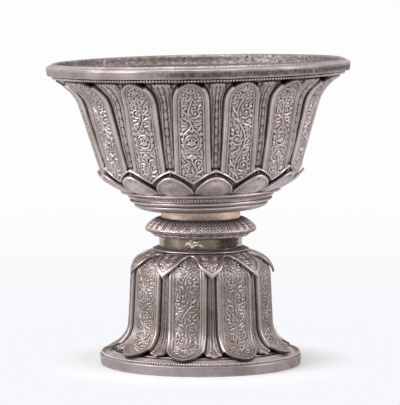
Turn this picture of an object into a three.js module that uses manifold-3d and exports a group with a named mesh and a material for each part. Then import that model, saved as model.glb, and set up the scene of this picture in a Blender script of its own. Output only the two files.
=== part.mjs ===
// Footed cup in sheet silver, with chased lotus petals round the bowl and the foot.
// Millimetres, +Z up. The origin is the centre of the foot's resting rim.
// Each sheet, ring and wire is a solid of its own, seated on its neighbour across a thin solder line.
import * as THREE from "three";
import { mergeVertices } from "three/addons/utils/BufferGeometryUtils.js";
import Module from "manifold-3d";

const wasm = await Module();
wasm.setup();

// Sheet, wire and joints
const chasedSheet = 0.8;
const plainSheet = 1.0;
const solderLine = 0.3;
const footFacets = 32;
const stemFacets = 28;
const bowlFacets = 32;
const wireSides = 5;

// Foot: band, plate, bell
const footRadius = 53.2;
const footBandTaper = 0.4;
const footBandHeight = 5.2;
const footLedgeWidth = 2.2;
const footWireRadius = 0.65;
const plateHoleRadius = 39.5;
const plateSlope = 0.7; // how far the plate climbs from its edge to its hole
const bellLipRadius = 44.0;

// Foot: the line of the petals, from the crown down to their tips
const footCrownRadius = 24.6;
const footCrownHeight = 58.9;
const footShoulderRadius = 37.0;
const footShoulderDrop = 11.4;
const footWaistRadius = 38.2;
const footWaistLength = 25.0;
const footTipInset = 3.0; // from the foot's edge in to a petal's tip
const footTipHeight = 8.6;
const footShoulderFullness = 8.8; // how far the shoulder keeps the waist's line
const footFlareFullness = 9.5; // how far the flare keeps the waist's line

// Foot: petals and the sepals over their upper ends
const footPetalCount = 9;
const footPetalWidth = 20.2;
const footPetalRelief = 2.0;
const footPetalArch = 9.0; // length of a petal's rounded end
const footPetalPoint = 0.9; // length of the small point on it
const footNotchDepth = 7.5; // from a petal's tip back to the notch beside it
const footLeafDrop = 3.6; // from a petal's tip back to the tip of the narrow leaf
const footPetalTurn = -11; // degrees; the petal next to the front stands this far round
const footSepalLength = 17;
const footSepalNotch = 2.6;
const footSepalCurl = 0.8; // how far a sepal's tip turns away from the petals

// Stem
const collarRadius = 25.7;
const collarTaper = 0.7;
const collarHeight = 1.7;
const stemRadius = 20.9;
const stemWall = 1.2;
const lowerNeckHeight = 5.4;
const sleeveWall = 0.65;
const knopRadius = 29.3;
const knopLowerMouth = 23.8;
const knopLowerHeight = 3.4;
const knopUpperMouth = 22.4;
const knopUpperHeight = 6.2;
const knopBulge = 0.6; // how far the lower half stands out from a straight cone
const knopScallops = 16;
const scallopDepth = 0.35;
const upperNeckHeight = 4.1;

// Drop of solder that a repair left on the lower neck
const dropWidth = 8.5;
const dropHeight = 4.4;
const dropDepth = 3.2;
const dropAside = -2.9;
const dropColumns = 12;
const dropRows = 8;

// Bowl: seat, base dish, wire and top ring
const bowlLean = 1.2; // degrees; the old bowl sits a little crooked on its stem
const bowlAside = 0.3; // and a little to one side
const dishFloorRadius = 22.9;
const lowLipRadius = 35.3;
const lowLipSweep = 3.0; // from the low lip in to where the dish's flat floor would turn up
const lowLipHeight = 2.9; // from the dish's underside to the lip's lower edge
const midLipRadius = 37.7;
const midLipRise = 2.3; // from the low lip's lower edge to the middle lip's
const lipThickness = 0.8;
const baseWireRadius = 0.75;
const topRingOverhang = 2.2; // beyond the lower edge of the sheets that it carries

// Bowl: the line of the petals, from the base up to their tips
const bowlBaseRadius = 40.2;
const bowlHipRadius = 52.9;
const bowlHipRise = 11.5;
const bowlThroatRadius = 63.2;
const bowlWallRise = 34.0;
const bowlFlareRise = 13.1;
const bowlHipFullness = 5.0; // how far the hip keeps the wall's line
const bowlFlareFullness = 8.0; // how far the flare keeps the wall's line

// Bowl: petals and the sepals round their lower ends
const bowlPetalCount = 14;
const bowlPetalWidth = 18.4;
const bowlPetalRelief = 2.0;
const bowlPetalArch = 8.0;
const bowlPetalPoint = 0.5;
const bowlNotchDepth = 4.8;
const bowlLeafDrop = 0.8;
const bowlPetalTurn = -4.2; // degrees, the front petal
const bowlSepalLength = 16.5;
const bowlSepalNotch = 3.0;
const bowlSepalCurl = 0.9; // how far a sepal's tip turns away from the petals

// Bowl: liner and rim
const rimRadius = 80.0;
const rimOverhang = 4.5; // from the petals' tips out to the rim's edge
const rimTaper = 0.6;
const rimBandHeight = 4.4;
const rimUnderside = 3.3; // from the petals' tips up to the rim band
const rimWireRadius = 0.75;
const rimWireInset = 3.6; // from the rim's edge in to the wire's middle
const lipWidth = 3.2;
const lipDome = 1.4;
const linerFloorRadius = 24.0;
const linerFloorSag = 3.4; // how far the floor hangs below the foot of the liner's wall

// Angles and heights that follow from the sizes above
const front = -Math.PI / 2;
const leanAngle = THREE.MathUtils.degToRad(bowlLean);
const ledgeTop = footBandHeight - plainSheet - solderLine;
const plateRadius = footRadius - plainSheet - solderLine;
const bellCrown = footCrownHeight - chasedSheet - solderLine;
const collarFlange = footCrownHeight + solderLine + chasedSheet + solderLine;
const collarTop = collarFlange + collarHeight;
const sleeveTop = collarTop + lowerNeckHeight;
const knopBase = sleeveTop + solderLine;
const knopRidge = knopBase + knopLowerHeight;
const knopTop = knopRidge + knopUpperHeight;
const dishBase = knopTop + upperNeckHeight;
const stemBore = stemRadius + solderLine; // of what slides over the stem

// Heights in the bowl's own leaning frame, above the dish's underside
const midLipTop = lowLipHeight + midLipRise + lipThickness;
const topRingBase = midLipTop + 2 * baseWireRadius + 2 * solderLine;
const shellBase = topRingBase + lipThickness + chasedSheet + 2 * solderLine;
const petalTipHeight = shellBase + bowlHipRise + bowlWallRise + bowlFlareRise;
const rimBase = petalTipHeight + rimUnderside;
const rimHeight = rimBase + rimBandHeight;

const silver = new THREE.MeshStandardMaterial({ color: 0x9a9391, roughness: 0.42, metalness: 1.0 });
const wornSilver = new THREE.MeshStandardMaterial({ color: 0xb3aaa6, roughness: 0.36, metalness: 1.0 });
const copper = new THREE.MeshStandardMaterial({ color: 0xb98a6c, roughness: 0.45, metalness: 1.0 });
const brass = new THREE.MeshStandardMaterial({ color: 0x6d6354, roughness: 0.5, metalness: 1.0 });
const solder = new THREE.MeshStandardMaterial({ color: 0xbdb49a, roughness: 0.6, metalness: 0.9 });

const cup = new THREE.Group();
const bowl = new THREE.Group();
bowl.position.set(bowlAside, 0, dishBase);
bowl.rotation.y = -leanAngle;
cup.add(bowl);

/** Adds a geometry to a group as a named piece. */
function piece(group, name, geometry, material) {
  const mesh = new THREE.Mesh(geometry, material);
  mesh.name = name;
  group.add(mesh);
}

/** Turns a closed outline of [radius, height] points, counter-clockwise with the radius to the right. */
function turned(outline, facets) {
  const points = [...outline, outline[0]].map(([r, z]) => new THREE.Vector2(r, z));
  return new THREE.LatheGeometry(points, facets).rotateX(Math.PI / 2);
}

/** A round wire bent into a ring. */
function wireRing(radius, height, wireRadius, facets) {
  return new THREE.TorusGeometry(radius, wireRadius, wireSides, facets).translate(0, 0, height);
}

/** A curve from one [radius, height] point to another, as points after the first. */
function bend(from, towards, to, steps) {
  const [a, b, c] = [from, towards, to].map(([r, z]) => new THREE.Vector2(r, z));
  return new THREE.QuadraticBezierCurve(a, b, c).getPoints(steps).slice(1).map((p) => [p.x, p.y]);
}

/** Joins closed cross-sections, one after another round the axis, into a ring-shaped solid. */
function ringOfSections(sections) {
  const size = sections[0].length;
  const index = [];
  sections.forEach((_, s) => {
    const here = s * size;
    const next = ((s + 1) % sections.length) * size;
    for (let p = 0; p < size; p += 1) {
      const q = (p + 1) % size;
      index.push(here + p, next + p, next + q, here + p, next + q, here + q);
    }
  });
  const geometry = new THREE.BufferGeometry();
  geometry.setAttribute("position", new THREE.Float32BufferAttribute(sections.flat(2), 3));
  geometry.setIndex(index);
  geometry.computeVertexNormals();
  return geometry;
}

/** The line that a chased sheet follows: a straight wall that bends into its start and into its end. */
class SheetLine {
  constructor(start, wallStart, wallEnd, end, startFullness, endFullness) {
    const [a, b, c, d] = [start, wallStart, wallEnd, end].map(([r, z]) => new THREE.Vector2(r, z));
    const along = c.clone().sub(b).normalize();
    this.path = new THREE.CurvePath();
    this.path.add(new THREE.QuadraticBezierCurve(a, b.clone().addScaledVector(along, -startFullness), b));
    this.path.add(new THREE.LineCurve(b, c));
    this.path.add(new THREE.QuadraticBezierCurve(c, c.clone().addScaledVector(along, endFullness), d));
    [this.wallFrom, this.wallTo, this.length] = this.path.getCurveLengths();
    this.rises = d.y > a.y;
  }

  /** The point at a length along the line, stood off the cup by an offset, as [radius, height]. */
  at(length, offset) {
    const share = THREE.MathUtils.clamp(length / this.length, 0, 1);
    const point = this.path.getPointAt(share);
    const along = this.path.getTangentAt(share).multiplyScalar(this.rises ? offset : -offset);
    return [point.x + along.y, point.y - along.x];
  }

  /** Lengths at which the sheet is divided, close together where it bends. */
  divisions(startSteps, endSteps) {
    const start = Array.from({ length: startSteps + 1 }, (_, i) => (this.wallFrom * i) / startSteps);
    const bendLength = this.length - this.wallTo;
    const end = Array.from({ length: endSteps + 1 }, (_, i) => this.wallTo + (bendLength * i) / endSteps);
    return [...start, ...end];
  }

  /** The same divisions for a column of the sheet that ends short of the line's end. */
  shortened(divisions, drop) {
    const share = (this.length - drop - this.wallTo) / (this.length - this.wallTo);
    return divisions.map((at) => (at > this.wallTo ? this.wallTo + (at - this.wallTo) * share : at));
  }
}

// Half of a petal's cross-section: crowned panel, groove, flat raised border and the edge of the channel.
// Across is a share of the half width, on the sheet's outer and inner face; height is a share of the relief.
const petalSection = [
  { across: 0, innerAcross: 0, height: 0.91 },
  { across: 0.7, innerAcross: 0.66, height: 0.74 },
  { across: 0.82, innerAcross: 0.77, height: 1.0 },
  { across: 0.97, innerAcross: 0.9, height: 1.0 },
  { across: 1.03, innerAcross: 0.95, height: 0.05 },
];
const pointReach = 0.62; // of a petal's half width, over which the small point at its tip falls away
const leafHeight = 0.3; // of the narrow leaf's midrib, as a share of the relief
const widestPetal = 0.78; // of the room round the axis, where the cup is narrow
const reliefStart = 9; // length over which the relief rises from the sheet's plain edge

// Half of a sepal's outline: share of the half width, and share of the way from the notch to the tip.
const archedSepal = [
  { across: 0, reach: 1 },
  { across: 0.45, reach: 0.86 },
  { across: 0.85, reach: 0.43 },
  { across: 1, reach: 0 },
];
const pointedSepal = [
  { across: 0, reach: 1 },
  { across: 0.3, reach: 0.76 },
  { across: 0.64, reach: 0.46 },
  { across: 1, reach: 0 },
];

/** Repeats the half outline on both sides, so that a section runs right across. */
function bothSides(half) {
  const mirrored = half.slice(1).reverse().map((column) => ({ ...column, side: -1 }));
  return [...mirrored, ...half.map((column) => ({ ...column, side: 1 }))];
}

/** A point round the axis from the [radius, height] of a line and an angle. */
function around([r, z], angle) {
  return [r * Math.cos(angle), r * Math.sin(angle), z];
}

/** Closes a sheet's outer and inner column into one cross-section, counter-clockwise like an outline. */
function closedSection(line, outer, inner) {
  const section = [...outer, ...inner.reverse()];
  return line.rises ? section : section.reverse();
}

/** How deep the channels between the petals lie at a length along the line. */
function reliefAt(length, relief) {
  return relief * THREE.MathUtils.smoothstep(length, 0, reliefStart);
}

/** A chased ring of broad petals with narrow leaves between them, cut to their outlines at the free end. */
function petalRing(line, divisions, petals) {
  const pitch = (2 * Math.PI) / petals.count;
  const leaf = { leaf: true, height: leafHeight };
  const columns = [...bothSides(petalSection), leaf];
  const sections = [];
  for (let k = 0; k < petals.count; k += 1) {
    const middle = petals.turn + pitch * k;
    for (const column of columns) {
      const across = Math.min(column.across ?? 0, 1);
      const arch = petals.arch * (1 - Math.sqrt(1 - across ** 2));
      const point = petals.point * Math.min(across / pointReach, 1);
      const drop = column.leaf ? petals.leafDrop : Math.min(arch + point, petals.notchDepth);
      const lengths = line.shortened(divisions, drop);
      const face = (share, depth) =>
        lengths.map((length) => {
          const relief = reliefAt(length, petals.relief);
          const place = line.at(length, relief * (column.height - 1) - depth);
          const halfWidth = Math.min(petals.width, widestPetal * pitch * place[0]) / 2;
          const turn = column.leaf ? pitch / 2 : (column.side * share * halfWidth) / place[0];
          return around(place, middle + turn);
        });
      sections.push(closedSection(line, face(column.across, 0), face(column.innerAcross, chasedSheet)));
    }
  }
  return ringOfSections(sections);
}

/** A ring of sepals laid over the petals' ends, from the line's start to their own free tips. */
function sepalRing(line, sepals, steps) {
  const pitch = (2 * Math.PI) / sepals.count;
  const columns = bothSides(sepals.outline).slice(1); // the first is the last one of the sepal before
  const sections = [];
  for (let k = 0; k < sepals.count; k += 1) {
    const middle = sepals.turn + pitch * (k + 0.5);
    for (const column of columns) {
      const end = sepals.notch + (sepals.length - sepals.notch) * column.reach;
      const face = (offset) =>
        Array.from({ length: steps + 1 }, (_, i) => {
          const length = (end * i) / steps;
          const curl = sepals.curl * (length / sepals.length) ** 2;
          return around(line.at(length, offset + curl), middle + (column.side * column.across * pitch) / 2);
        });
      sections.push(closedSection(line, face(solderLine + chasedSheet), face(solderLine)));
    }
  }
  return ringOfSections(sections);
}

/** The foot: band, plate, beaded wire, bell, petals and sepals. */
function buildFoot() {
  const bandInner = footRadius - plainSheet;
  const ledgeInner = bandInner - footLedgeWidth;
  const band = [
    [bandInner - footBandTaper, 0],
    [footRadius - footBandTaper, 0],
    [footRadius, footBandHeight],
    [bandInner, footBandHeight],
    [bandInner, ledgeTop],
    [ledgeInner, ledgeTop],
    [ledgeInner, ledgeTop - plainSheet],
    [bandInner - footBandTaper, ledgeTop - 2 * plainSheet],
  ];
  piece(cup, "foot_band", turned(band, footFacets), wornSilver);

  const plateBase = ledgeTop + solderLine;
  const holeBase = plateBase + plateSlope;
  const plate = [
    [plateHoleRadius, holeBase],
    [ledgeInner, plateBase],
    [plateRadius, plateBase],
    [plateRadius, plateBase + plainSheet],
    [plateHoleRadius, holeBase + plainSheet],
  ];
  piece(cup, "foot_plate", turned(plate, footFacets), wornSilver);

  // The beaded wire covers the seam between the band and the plate.
  const wireRadius = plateRadius + solderLine / 2;
  const wireHeight = plateBase + plainSheet + solderLine + footWireRadius;
  piece(cup, "foot_bead_wire", wireRing(wireRadius, wireHeight, footWireRadius, footFacets), wornSilver);

  const shoulderHeight = footCrownHeight - footShoulderDrop;
  const line = new SheetLine(
    [footCrownRadius, footCrownHeight],
    [footShoulderRadius, shoulderHeight],
    [footWaistRadius, shoulderHeight - footWaistLength],
    [footRadius - footTipInset, footTipHeight],
    footShoulderFullness,
    footFlareFullness,
  );
  const divisions = line.divisions(2, 3);
  const petals = {
    count: footPetalCount,
    turn: front + THREE.MathUtils.degToRad(footPetalTurn),
    width: footPetalWidth,
    relief: footPetalRelief,
    arch: footPetalArch,
    point: footPetalPoint,
    notchDepth: footNotchDepth,
    leafDrop: footLeafDrop,
  };
  piece(cup, "foot_petal_skirt", petalRing(line, divisions, petals), silver);

  const sepals = {
    ...petals,
    outline: pointedSepal,
    length: footSepalLength,
    notch: footSepalNotch,
    curl: footSepalCurl,
  };
  piece(cup, "foot_sepal_ring", sepalRing(line, sepals, 4), silver);

  // Inside the petals lie the crown, down to the shoulder, and the bell, which spreads on to the plate.
  const depth = (length) => -reliefAt(length, petals.relief) - chasedSheet - solderLine;
  const outside = (length) => line.at(length, depth(length));
  const inside = (length) => line.at(length, depth(length) - plainSheet);
  const shoulder = divisions.filter((length) => length > 0 && length <= line.wallFrom);
  const crown = [
    [0, bellCrown - plainSheet],
    [inside(0)[0], bellCrown - plainSheet],
    ...shoulder.map(inside),
    ...shoulder.map(outside).reverse(),
    [outside(0)[0], bellCrown],
    [0, bellCrown],
  ];
  piece(cup, "foot_crown", turned(crown, footFacets), wornSilver);

  const bellSeat = holeBase + plainSheet + solderLine;
  const spread = (from, height) => bend(from, [from[0], height], [bellLipRadius, height], 3);
  const bellTop = line.wallFrom + solderLine;
  const bell = [
    inside(bellTop),
    inside(line.wallTo),
    ...spread(inside(line.wallTo), bellSeat),
    ...spread(outside(line.wallTo), bellSeat + plainSheet).reverse(),
    outside(line.wallTo),
    outside(bellTop),
  ];
  piece(cup, "foot_bell", turned(bell, footFacets), wornSilver);
}

/** A ring whose outline swells and shrinks in scallops: points are [radius, height, share of the scallop]. */
function scallopedRing(outline) {
  const facets = knopScallops * 2;
  const sections = Array.from({ length: facets }, (_, i) => {
    const angle = (2 * Math.PI * i) / facets;
    const wave = scallopDepth * Math.cos(knopScallops * angle);
    return outline.map(([r, z, share]) => around([r + wave * share, z], angle));
  });
  return ringOfSections(sections);
}

/** The stem: tube, collar, sleeve, drop of solder and the knop in two halves. */
function buildStem() {
  // The tube's upper end is cut to the lean of the bowl that stands on it.
  const tubeBase = bellCrown + solderLine;
  const tubeBore = stemRadius - stemWall;
  const tube = Array.from({ length: stemFacets }, (_, i) => {
    const angle = (2 * Math.PI * i) / stemFacets;
    const top = (r) => dishBase - solderLine + (r * Math.cos(angle) - bowlAside) * Math.tan(leanAngle);
    const outline = [
      [tubeBore, tubeBase],
      [stemRadius, tubeBase],
      [stemRadius, top(stemRadius)],
      [tubeBore, top(tubeBore)],
    ];
    return outline.map((place) => around(place, angle));
  });
  piece(cup, "stem_tube", ringOfSections(tube), copper);

  // The collar caps the sheets' upper edges, and its boss stands on the bell's crown inside them.
  const bossRadius = footCrownRadius - 2 * solderLine;
  const collar = [
    [stemBore, bellCrown + solderLine],
    [bossRadius, bellCrown + solderLine],
    [bossRadius, collarFlange],
    [collarRadius, collarFlange],
    [collarRadius - collarTaper, collarTop],
    [stemBore, collarTop],
  ];
  piece(cup, "foot_collar", turned(collar, stemFacets), wornSilver);

  const sleeveRadius = stemBore + sleeveWall;
  const sleeve = [
    [stemBore, collarTop + solderLine],
    [sleeveRadius, collarTop + solderLine],
    [sleeveRadius, sleeveTop],
    [stemBore, sleeveTop],
  ];
  piece(cup, "lower_neck_sleeve", turned(sleeve, stemFacets), brass);

  const blobHeight = (collarTop + solderLine + sleeveTop) / 2;
  const blobDistance = Math.sqrt(sleeveRadius ** 2 - dropAside ** 2);
  const blob = new THREE.SphereGeometry(1, dropColumns, dropRows);
  blob.scale(dropWidth / 2, dropDepth / 2, dropHeight / 2).translate(dropAside, -blobDistance, blobHeight);
  const neckRadius = sleeveRadius + solderLine;
  const neck = new THREE.CylinderGeometry(neckRadius, neckRadius, 2 * dropHeight, 3 * stemFacets);
  neck.rotateX(Math.PI / 2).translate(0, 0, blobHeight);
  piece(cup, "neck_solder_drop", toGeometry(toSolid(blob).subtract(toSolid(neck))), solder);

  // Each half of the knop is a shell round the stem; they meet at the scalloped ridge.
  // A point's level is a share of the half's height, and its last number is its share of the scallops.
  const inside = knopRadius - plainSheet;
  const lowerMid = knopBase + knopLowerHeight * 0.4;
  const lower = [
    [stemBore, knopBase, 0],
    [knopLowerMouth, knopBase, 0],
    [(knopLowerMouth + knopRadius) / 2 + knopBulge, lowerMid, 0.4],
    [knopRadius, knopRidge - solderLine, 1],
    [inside, knopRidge - solderLine, 0],
    [(knopLowerMouth + inside) / 2, lowerMid + plainSheet, 0],
    [stemBore, knopBase + plainSheet, 0],
  ];
  piece(cup, "knop_lower", scallopedRing(lower), silver);

  const shoulder = knopUpperMouth + (knopRadius - knopUpperMouth) * 0.6;
  const upper = [
    [stemBore, knopTop - plainSheet, 0],
    [shoulder - plainSheet, knopRidge + knopUpperHeight * 0.5, 0],
    [inside, knopRidge, 0],
    [knopRadius, knopRidge, 1],
    [knopRadius, knopRidge + knopUpperHeight * 0.12, 0.8],
    [knopRadius - plainSheet, knopRidge + knopUpperHeight * 0.36, 0.3],
    [shoulder, knopRidge + knopUpperHeight * 0.72, 0],
    [knopUpperMouth, knopTop, 0],
    [stemBore, knopTop, 0],
  ];
  piece(cup, "knop_upper", scallopedRing(upper), silver);
}

/** A closed geometry as a solid, for cutting. */
function toSolid(geometry) {
  const bare = geometry.clone();
  bare.deleteAttribute("normal");
  bare.deleteAttribute("uv");
  const merged = mergeVertices(bare);
  const vertProperties = new Float32Array(merged.getAttribute("position").array);
  const triVerts = new Uint32Array(merged.index.array);
  return new wasm.Manifold(new wasm.Mesh({ numProp: 3, vertProperties, triVerts }));
}

/** A solid back as a geometry. */
function toGeometry(solid) {
  const mesh = solid.getMesh();
  const geometry = new THREE.BufferGeometry();
  geometry.setAttribute("position", new THREE.BufferAttribute(mesh.vertProperties, 3));
  geometry.setIndex(new THREE.BufferAttribute(mesh.triVerts, 1));
  geometry.computeVertexNormals();
  return geometry;
}

/** The bowl's base: a moulded dish, a beaded wire on its middle lip and the ring that carries the sheets. */
function buildBowlBase() {
  const wallRadius = midLipRadius - baseWireRadius - solderLine;
  const wallTop = topRingBase - solderLine;
  const midLipHeight = midLipTop - lipThickness;
  const dish = [
    [0, 0],
    [dishFloorRadius, 0],
    ...bend([dishFloorRadius, 0], [lowLipRadius - lowLipSweep, 0], [lowLipRadius, lowLipHeight], 2),
    [lowLipRadius, lowLipHeight + lipThickness],
    [lowLipRadius - lipThickness, lowLipHeight + lipThickness],
    [midLipRadius - lipThickness, midLipHeight - lipThickness / 2],
    [midLipRadius, midLipHeight],
    [midLipRadius, midLipTop],
    [wallRadius, midLipTop],
    [wallRadius, wallTop],
    [wallRadius - plainSheet, wallTop],
    [wallRadius - plainSheet, midLipTop],
    [lowLipRadius - 2 * plainSheet, lowLipHeight + plainSheet],
    [dishFloorRadius, plainSheet],
    [0, plainSheet],
  ];
  piece(bowl, "bowl_base_dish", turned(dish, bowlFacets), silver);

  const wireHeight = midLipTop + solderLine + baseWireRadius;
  piece(bowl, "base_bead_wire", wireRing(midLipRadius, wireHeight, baseWireRadius, bowlFacets), wornSilver);

  const ringBore = wallRadius - plainSheet;
  const ringRadius = bowlBaseRadius + topRingOverhang;
  const ring = [
    [ringBore, topRingBase],
    [ringRadius - lipThickness / 2, topRingBase],
    [ringRadius, topRingBase + lipThickness / 2],
    [ringRadius - lipThickness / 2, topRingBase + lipThickness],
    [ringBore, topRingBase + lipThickness],
  ];
  piece(bowl, "base_top_ring", turned(ring, bowlFacets), silver);
}

/** The bowl above its base: sepals, petals, liner, rim band and beaded wire. */
function buildBowl() {
  const line = new SheetLine(
    [bowlBaseRadius, shellBase],
    [bowlHipRadius, shellBase + bowlHipRise],
    [bowlThroatRadius, shellBase + bowlHipRise + bowlWallRise],
    [rimRadius - rimOverhang, petalTipHeight],
    bowlHipFullness,
    bowlFlareFullness,
  );
  const divisions = line.divisions(2, 3);
  const petals = {
    count: bowlPetalCount,
    turn: front + THREE.MathUtils.degToRad(bowlPetalTurn),
    width: bowlPetalWidth,
    relief: bowlPetalRelief,
    arch: bowlPetalArch,
    point: bowlPetalPoint,
    notchDepth: bowlNotchDepth,
    leafDrop: bowlLeafDrop,
  };
  piece(bowl, "bowl_petal_shell", petalRing(line, divisions, petals), silver);

  const sepals = {
    ...petals,
    outline: archedSepal,
    length: bowlSepalLength,
    notch: bowlSepalNotch,
    curl: bowlSepalCurl,
  };
  piece(bowl, "bowl_sepal_ring", sepalRing(line, sepals, 2), silver);

  // The liner fills the petals' channels from within, in three courses: floor and hip, wall, flare.
  const depth = (length) => -reliefAt(length, petals.relief) - chasedSheet - solderLine;
  const outside = (length) => line.at(length, depth(length));
  const inside = (length) => line.at(length, depth(length) - plainSheet);
  const course = (lengths) => [...lengths.map(outside), ...lengths.map(inside).reverse()];
  const floor = shellBase - linerFloorSag;
  const hip = divisions.filter((length) => length <= line.wallFrom);
  const flare = line.shortened(divisions, solderLine).filter((length) => length > line.wallTo);
  const liner = [
    [0, floor],
    [linerFloorRadius, floor],
    ...course(hip),
    [linerFloorRadius, floor + plainSheet],
    [0, floor + plainSheet],
  ];
  piece(bowl, "bowl_liner_floor", turned(liner, bowlFacets), wornSilver);
  const linerWall = course([line.wallFrom + solderLine, line.wallTo]);
  piece(bowl, "bowl_liner_wall", turned(linerWall, bowlFacets), wornSilver);
  const linerFlare = course([line.wallTo + solderLine, ...flare]);
  piece(bowl, "bowl_liner_flare", turned(linerFlare, bowlFacets), wornSilver);

  // The lip carries the liner's line past the petals' tips, turns up and folds out over the rim band.
  const crest = rimRadius - lipWidth;
  const lipUnder = rimHeight - plainSheet;
  const lipInside = rimHeight + lipDome / 3;
  const throat = rimBase + chasedSheet;
  const lipStart = outside(line.length);
  const lipStartInside = inside(line.length);
  const lip = [
    lipStartInside,
    lipStart,
    ...bend(lipStart, [crest, throat], [crest, lipUnder], 2),
    [rimRadius, lipUnder],
    [rimRadius, rimHeight],
    [crest + lipWidth / 2, rimHeight + lipDome * 0.85],
    [crest, rimHeight + lipDome],
    ...bend(lipStartInside, [crest - plainSheet, throat], [crest - plainSheet, lipInside], 2).reverse(),
  ];
  piece(bowl, "rim_lip", turned(lip, bowlFacets), wornSilver);

  // The rim band hangs from the lip's edge and turns in under it, as far as the liner.
  const bandTop = lipUnder - solderLine;
  const bandFoot = rimRadius - rimTaper;
  const band = [
    [crest + solderLine, rimBase],
    [bandFoot, rimBase],
    [rimRadius, bandTop],
    [rimRadius - plainSheet, bandTop],
    [bandFoot - plainSheet, rimBase + chasedSheet],
    [crest + solderLine, rimBase + chasedSheet],
  ];
  piece(bowl, "rim_band", turned(band, bowlFacets), wornSilver);

  const wireHeight = rimBase - solderLine - rimWireRadius;
  const wireRadius = rimRadius - rimWireInset;
  piece(bowl, "rim_bead_wire", wireRing(wireRadius, wireHeight, rimWireRadius, bowlFacets), wornSilver);
}

buildFoot();
buildStem();
buildBowlBase();
buildBowl();

export default cup;
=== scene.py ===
"""Dresses the footed silver cup: chased petals, sepals, beaded wires, knop, rim and their finishes.

Sizes are millimetres in each sub-assembly's own frame. Every surface is worked out as whole arrays and put
into the row frame, in metres, by the seat of its sub-assembly.
"""

import logging
import math
from collections.abc import Callable
from dataclasses import dataclass, field
from enum import Enum
from functools import cache

import bpy
import numpy as np
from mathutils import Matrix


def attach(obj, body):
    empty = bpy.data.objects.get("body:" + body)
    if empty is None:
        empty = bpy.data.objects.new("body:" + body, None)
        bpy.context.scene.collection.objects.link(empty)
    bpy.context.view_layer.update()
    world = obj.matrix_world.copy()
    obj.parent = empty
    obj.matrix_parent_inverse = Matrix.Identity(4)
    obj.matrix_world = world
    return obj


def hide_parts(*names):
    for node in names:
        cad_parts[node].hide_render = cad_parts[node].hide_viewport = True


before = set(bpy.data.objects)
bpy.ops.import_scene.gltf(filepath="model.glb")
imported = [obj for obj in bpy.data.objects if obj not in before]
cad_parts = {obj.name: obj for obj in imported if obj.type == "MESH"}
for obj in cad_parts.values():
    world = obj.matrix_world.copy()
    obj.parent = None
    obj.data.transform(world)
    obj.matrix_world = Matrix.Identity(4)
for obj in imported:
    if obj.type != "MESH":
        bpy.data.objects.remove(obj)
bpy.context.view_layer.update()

Array = np.ndarray
Place = tuple[float, float]
Colour = tuple[float, float, float]
Outline = tuple[tuple[float, ...], tuple[float, ...]]
Relief = Callable[[Array, Array, Array], Array]
Socket = bpy.types.NodeSocket
Random = np.random.Generator

LOG = logging.getLogger("silver_cup")
MM = 0.001
FRONT = -math.pi / 2
SOLDER = 0.3
SHEET = 0.8
PLAIN_SHEET = 1.0
BODY = "root"
# The first mask holds real wear and patina in the hollows, and at some pieces painted shade and painted
# reflection.
MASKS = ("wear_and_shade", "ground")


def smooth_step(low: float, high: float, value: Array) -> Array:
    """Rises from 0 at low to 1 at high with a level start and end: 3t^2 - 2t^3."""
    share = np.clip((value - low) / (high - low), 0.0, 1.0)
    return share * share * (3.0 - 2.0 * share)


def bump(value: Array, middle: float, reach: float) -> Array:
    """A rounded hump: 1 at the middle, falling as a cosine to 0 at the reach on both sides."""
    return 0.5 + 0.5 * np.cos(np.pi * np.clip((value - middle) / reach, -1.0, 1.0))


def quadratic(first: Array | Place, middle: Array | Place, last: Array | Place, share: Array) -> Array:
    """Points of a quadratic Bezier curve: (1-t)^2 first + 2t(1-t) middle + t^2 last, with t the share."""
    return (1 - share) ** 2 * first + 2 * share * (1 - share) * middle + share**2 * last


def blurred(values: Array, reach: int) -> Array:
    """Mean of each value's neighbours, by running sums down the grid and then, with the grid turned, along it.

    Args:
        values: a grid of numbers, whose edges are repeated outwards.
        reach: how many rows and columns to each side count.

    Returns:
        The means, in the grid's shape.
    """
    width = 2 * reach + 1
    for _ in range(2):
        sums = np.cumsum(np.pad(values, ((reach + 1, reach), (0, 0)), mode="edge"), axis=0)
        values = ((sums[width:] - sums[:-width]) / width).T
    return values


def wear_from(height: Array, reach: int, relief: float) -> Array:
    """1 on a ridge, 0.5 on the level and 0 in a hollow: the height over its neighbours' mean, by the relief."""
    return np.clip(0.5 + 0.5 * (height - blurred(height, reach)) / relief, 0.0, 1.0)


def unevenness(angle: Array, height: Array, seed: int, size: float) -> Array:
    """Slow dents left by hand work: a sum of sines round the axis, each turning with height.

    Args:
        angle: angles round the axis.
        height: heights or lengths in mm.
        seed: which set of sines.
        size: about how far the surface moves, in mm.

    Returns:
        Offsets in mm that close round the axis.
    """
    rng = np.random.default_rng(seed)
    waves = np.arange(2, 12).reshape(-1, *([1] * np.broadcast(angle, height).ndim))
    phase = rng.uniform(0, 2 * np.pi, 10).reshape(waves.shape)
    twist = rng.uniform(-0.12, 0.12, 10).reshape(waves.shape)
    return size * np.sum(np.sin(waves * angle + twist * height + phase) / waves**0.7, axis=0) / 2.0


@dataclass(frozen=True)
class Seat:
    """Where a sub-assembly stands: its origin in mm, and how far it leans towards -X in degrees."""

    origin: tuple[float, float, float] = (0.0, 0.0, 0.0)
    lean: float = 0.0

    def place(self, points: Array) -> Array:
        """Turns points about Y by the lean, shifts them by the origin and gives them in metres.

        Args:
            points: an array that ends in x, y, z in mm.

        Returns:
            The points in the row frame, in metres.
        """
        cos, sin = math.cos(math.radians(self.lean)), math.sin(math.radians(self.lean))
        x, y, z = points[..., 0], points[..., 1], points[..., 2]
        leaning = np.stack([x * cos - z * sin, y, x * sin + z * cos], axis=-1)
        return (leaning + np.array(self.origin)) * MM


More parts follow.
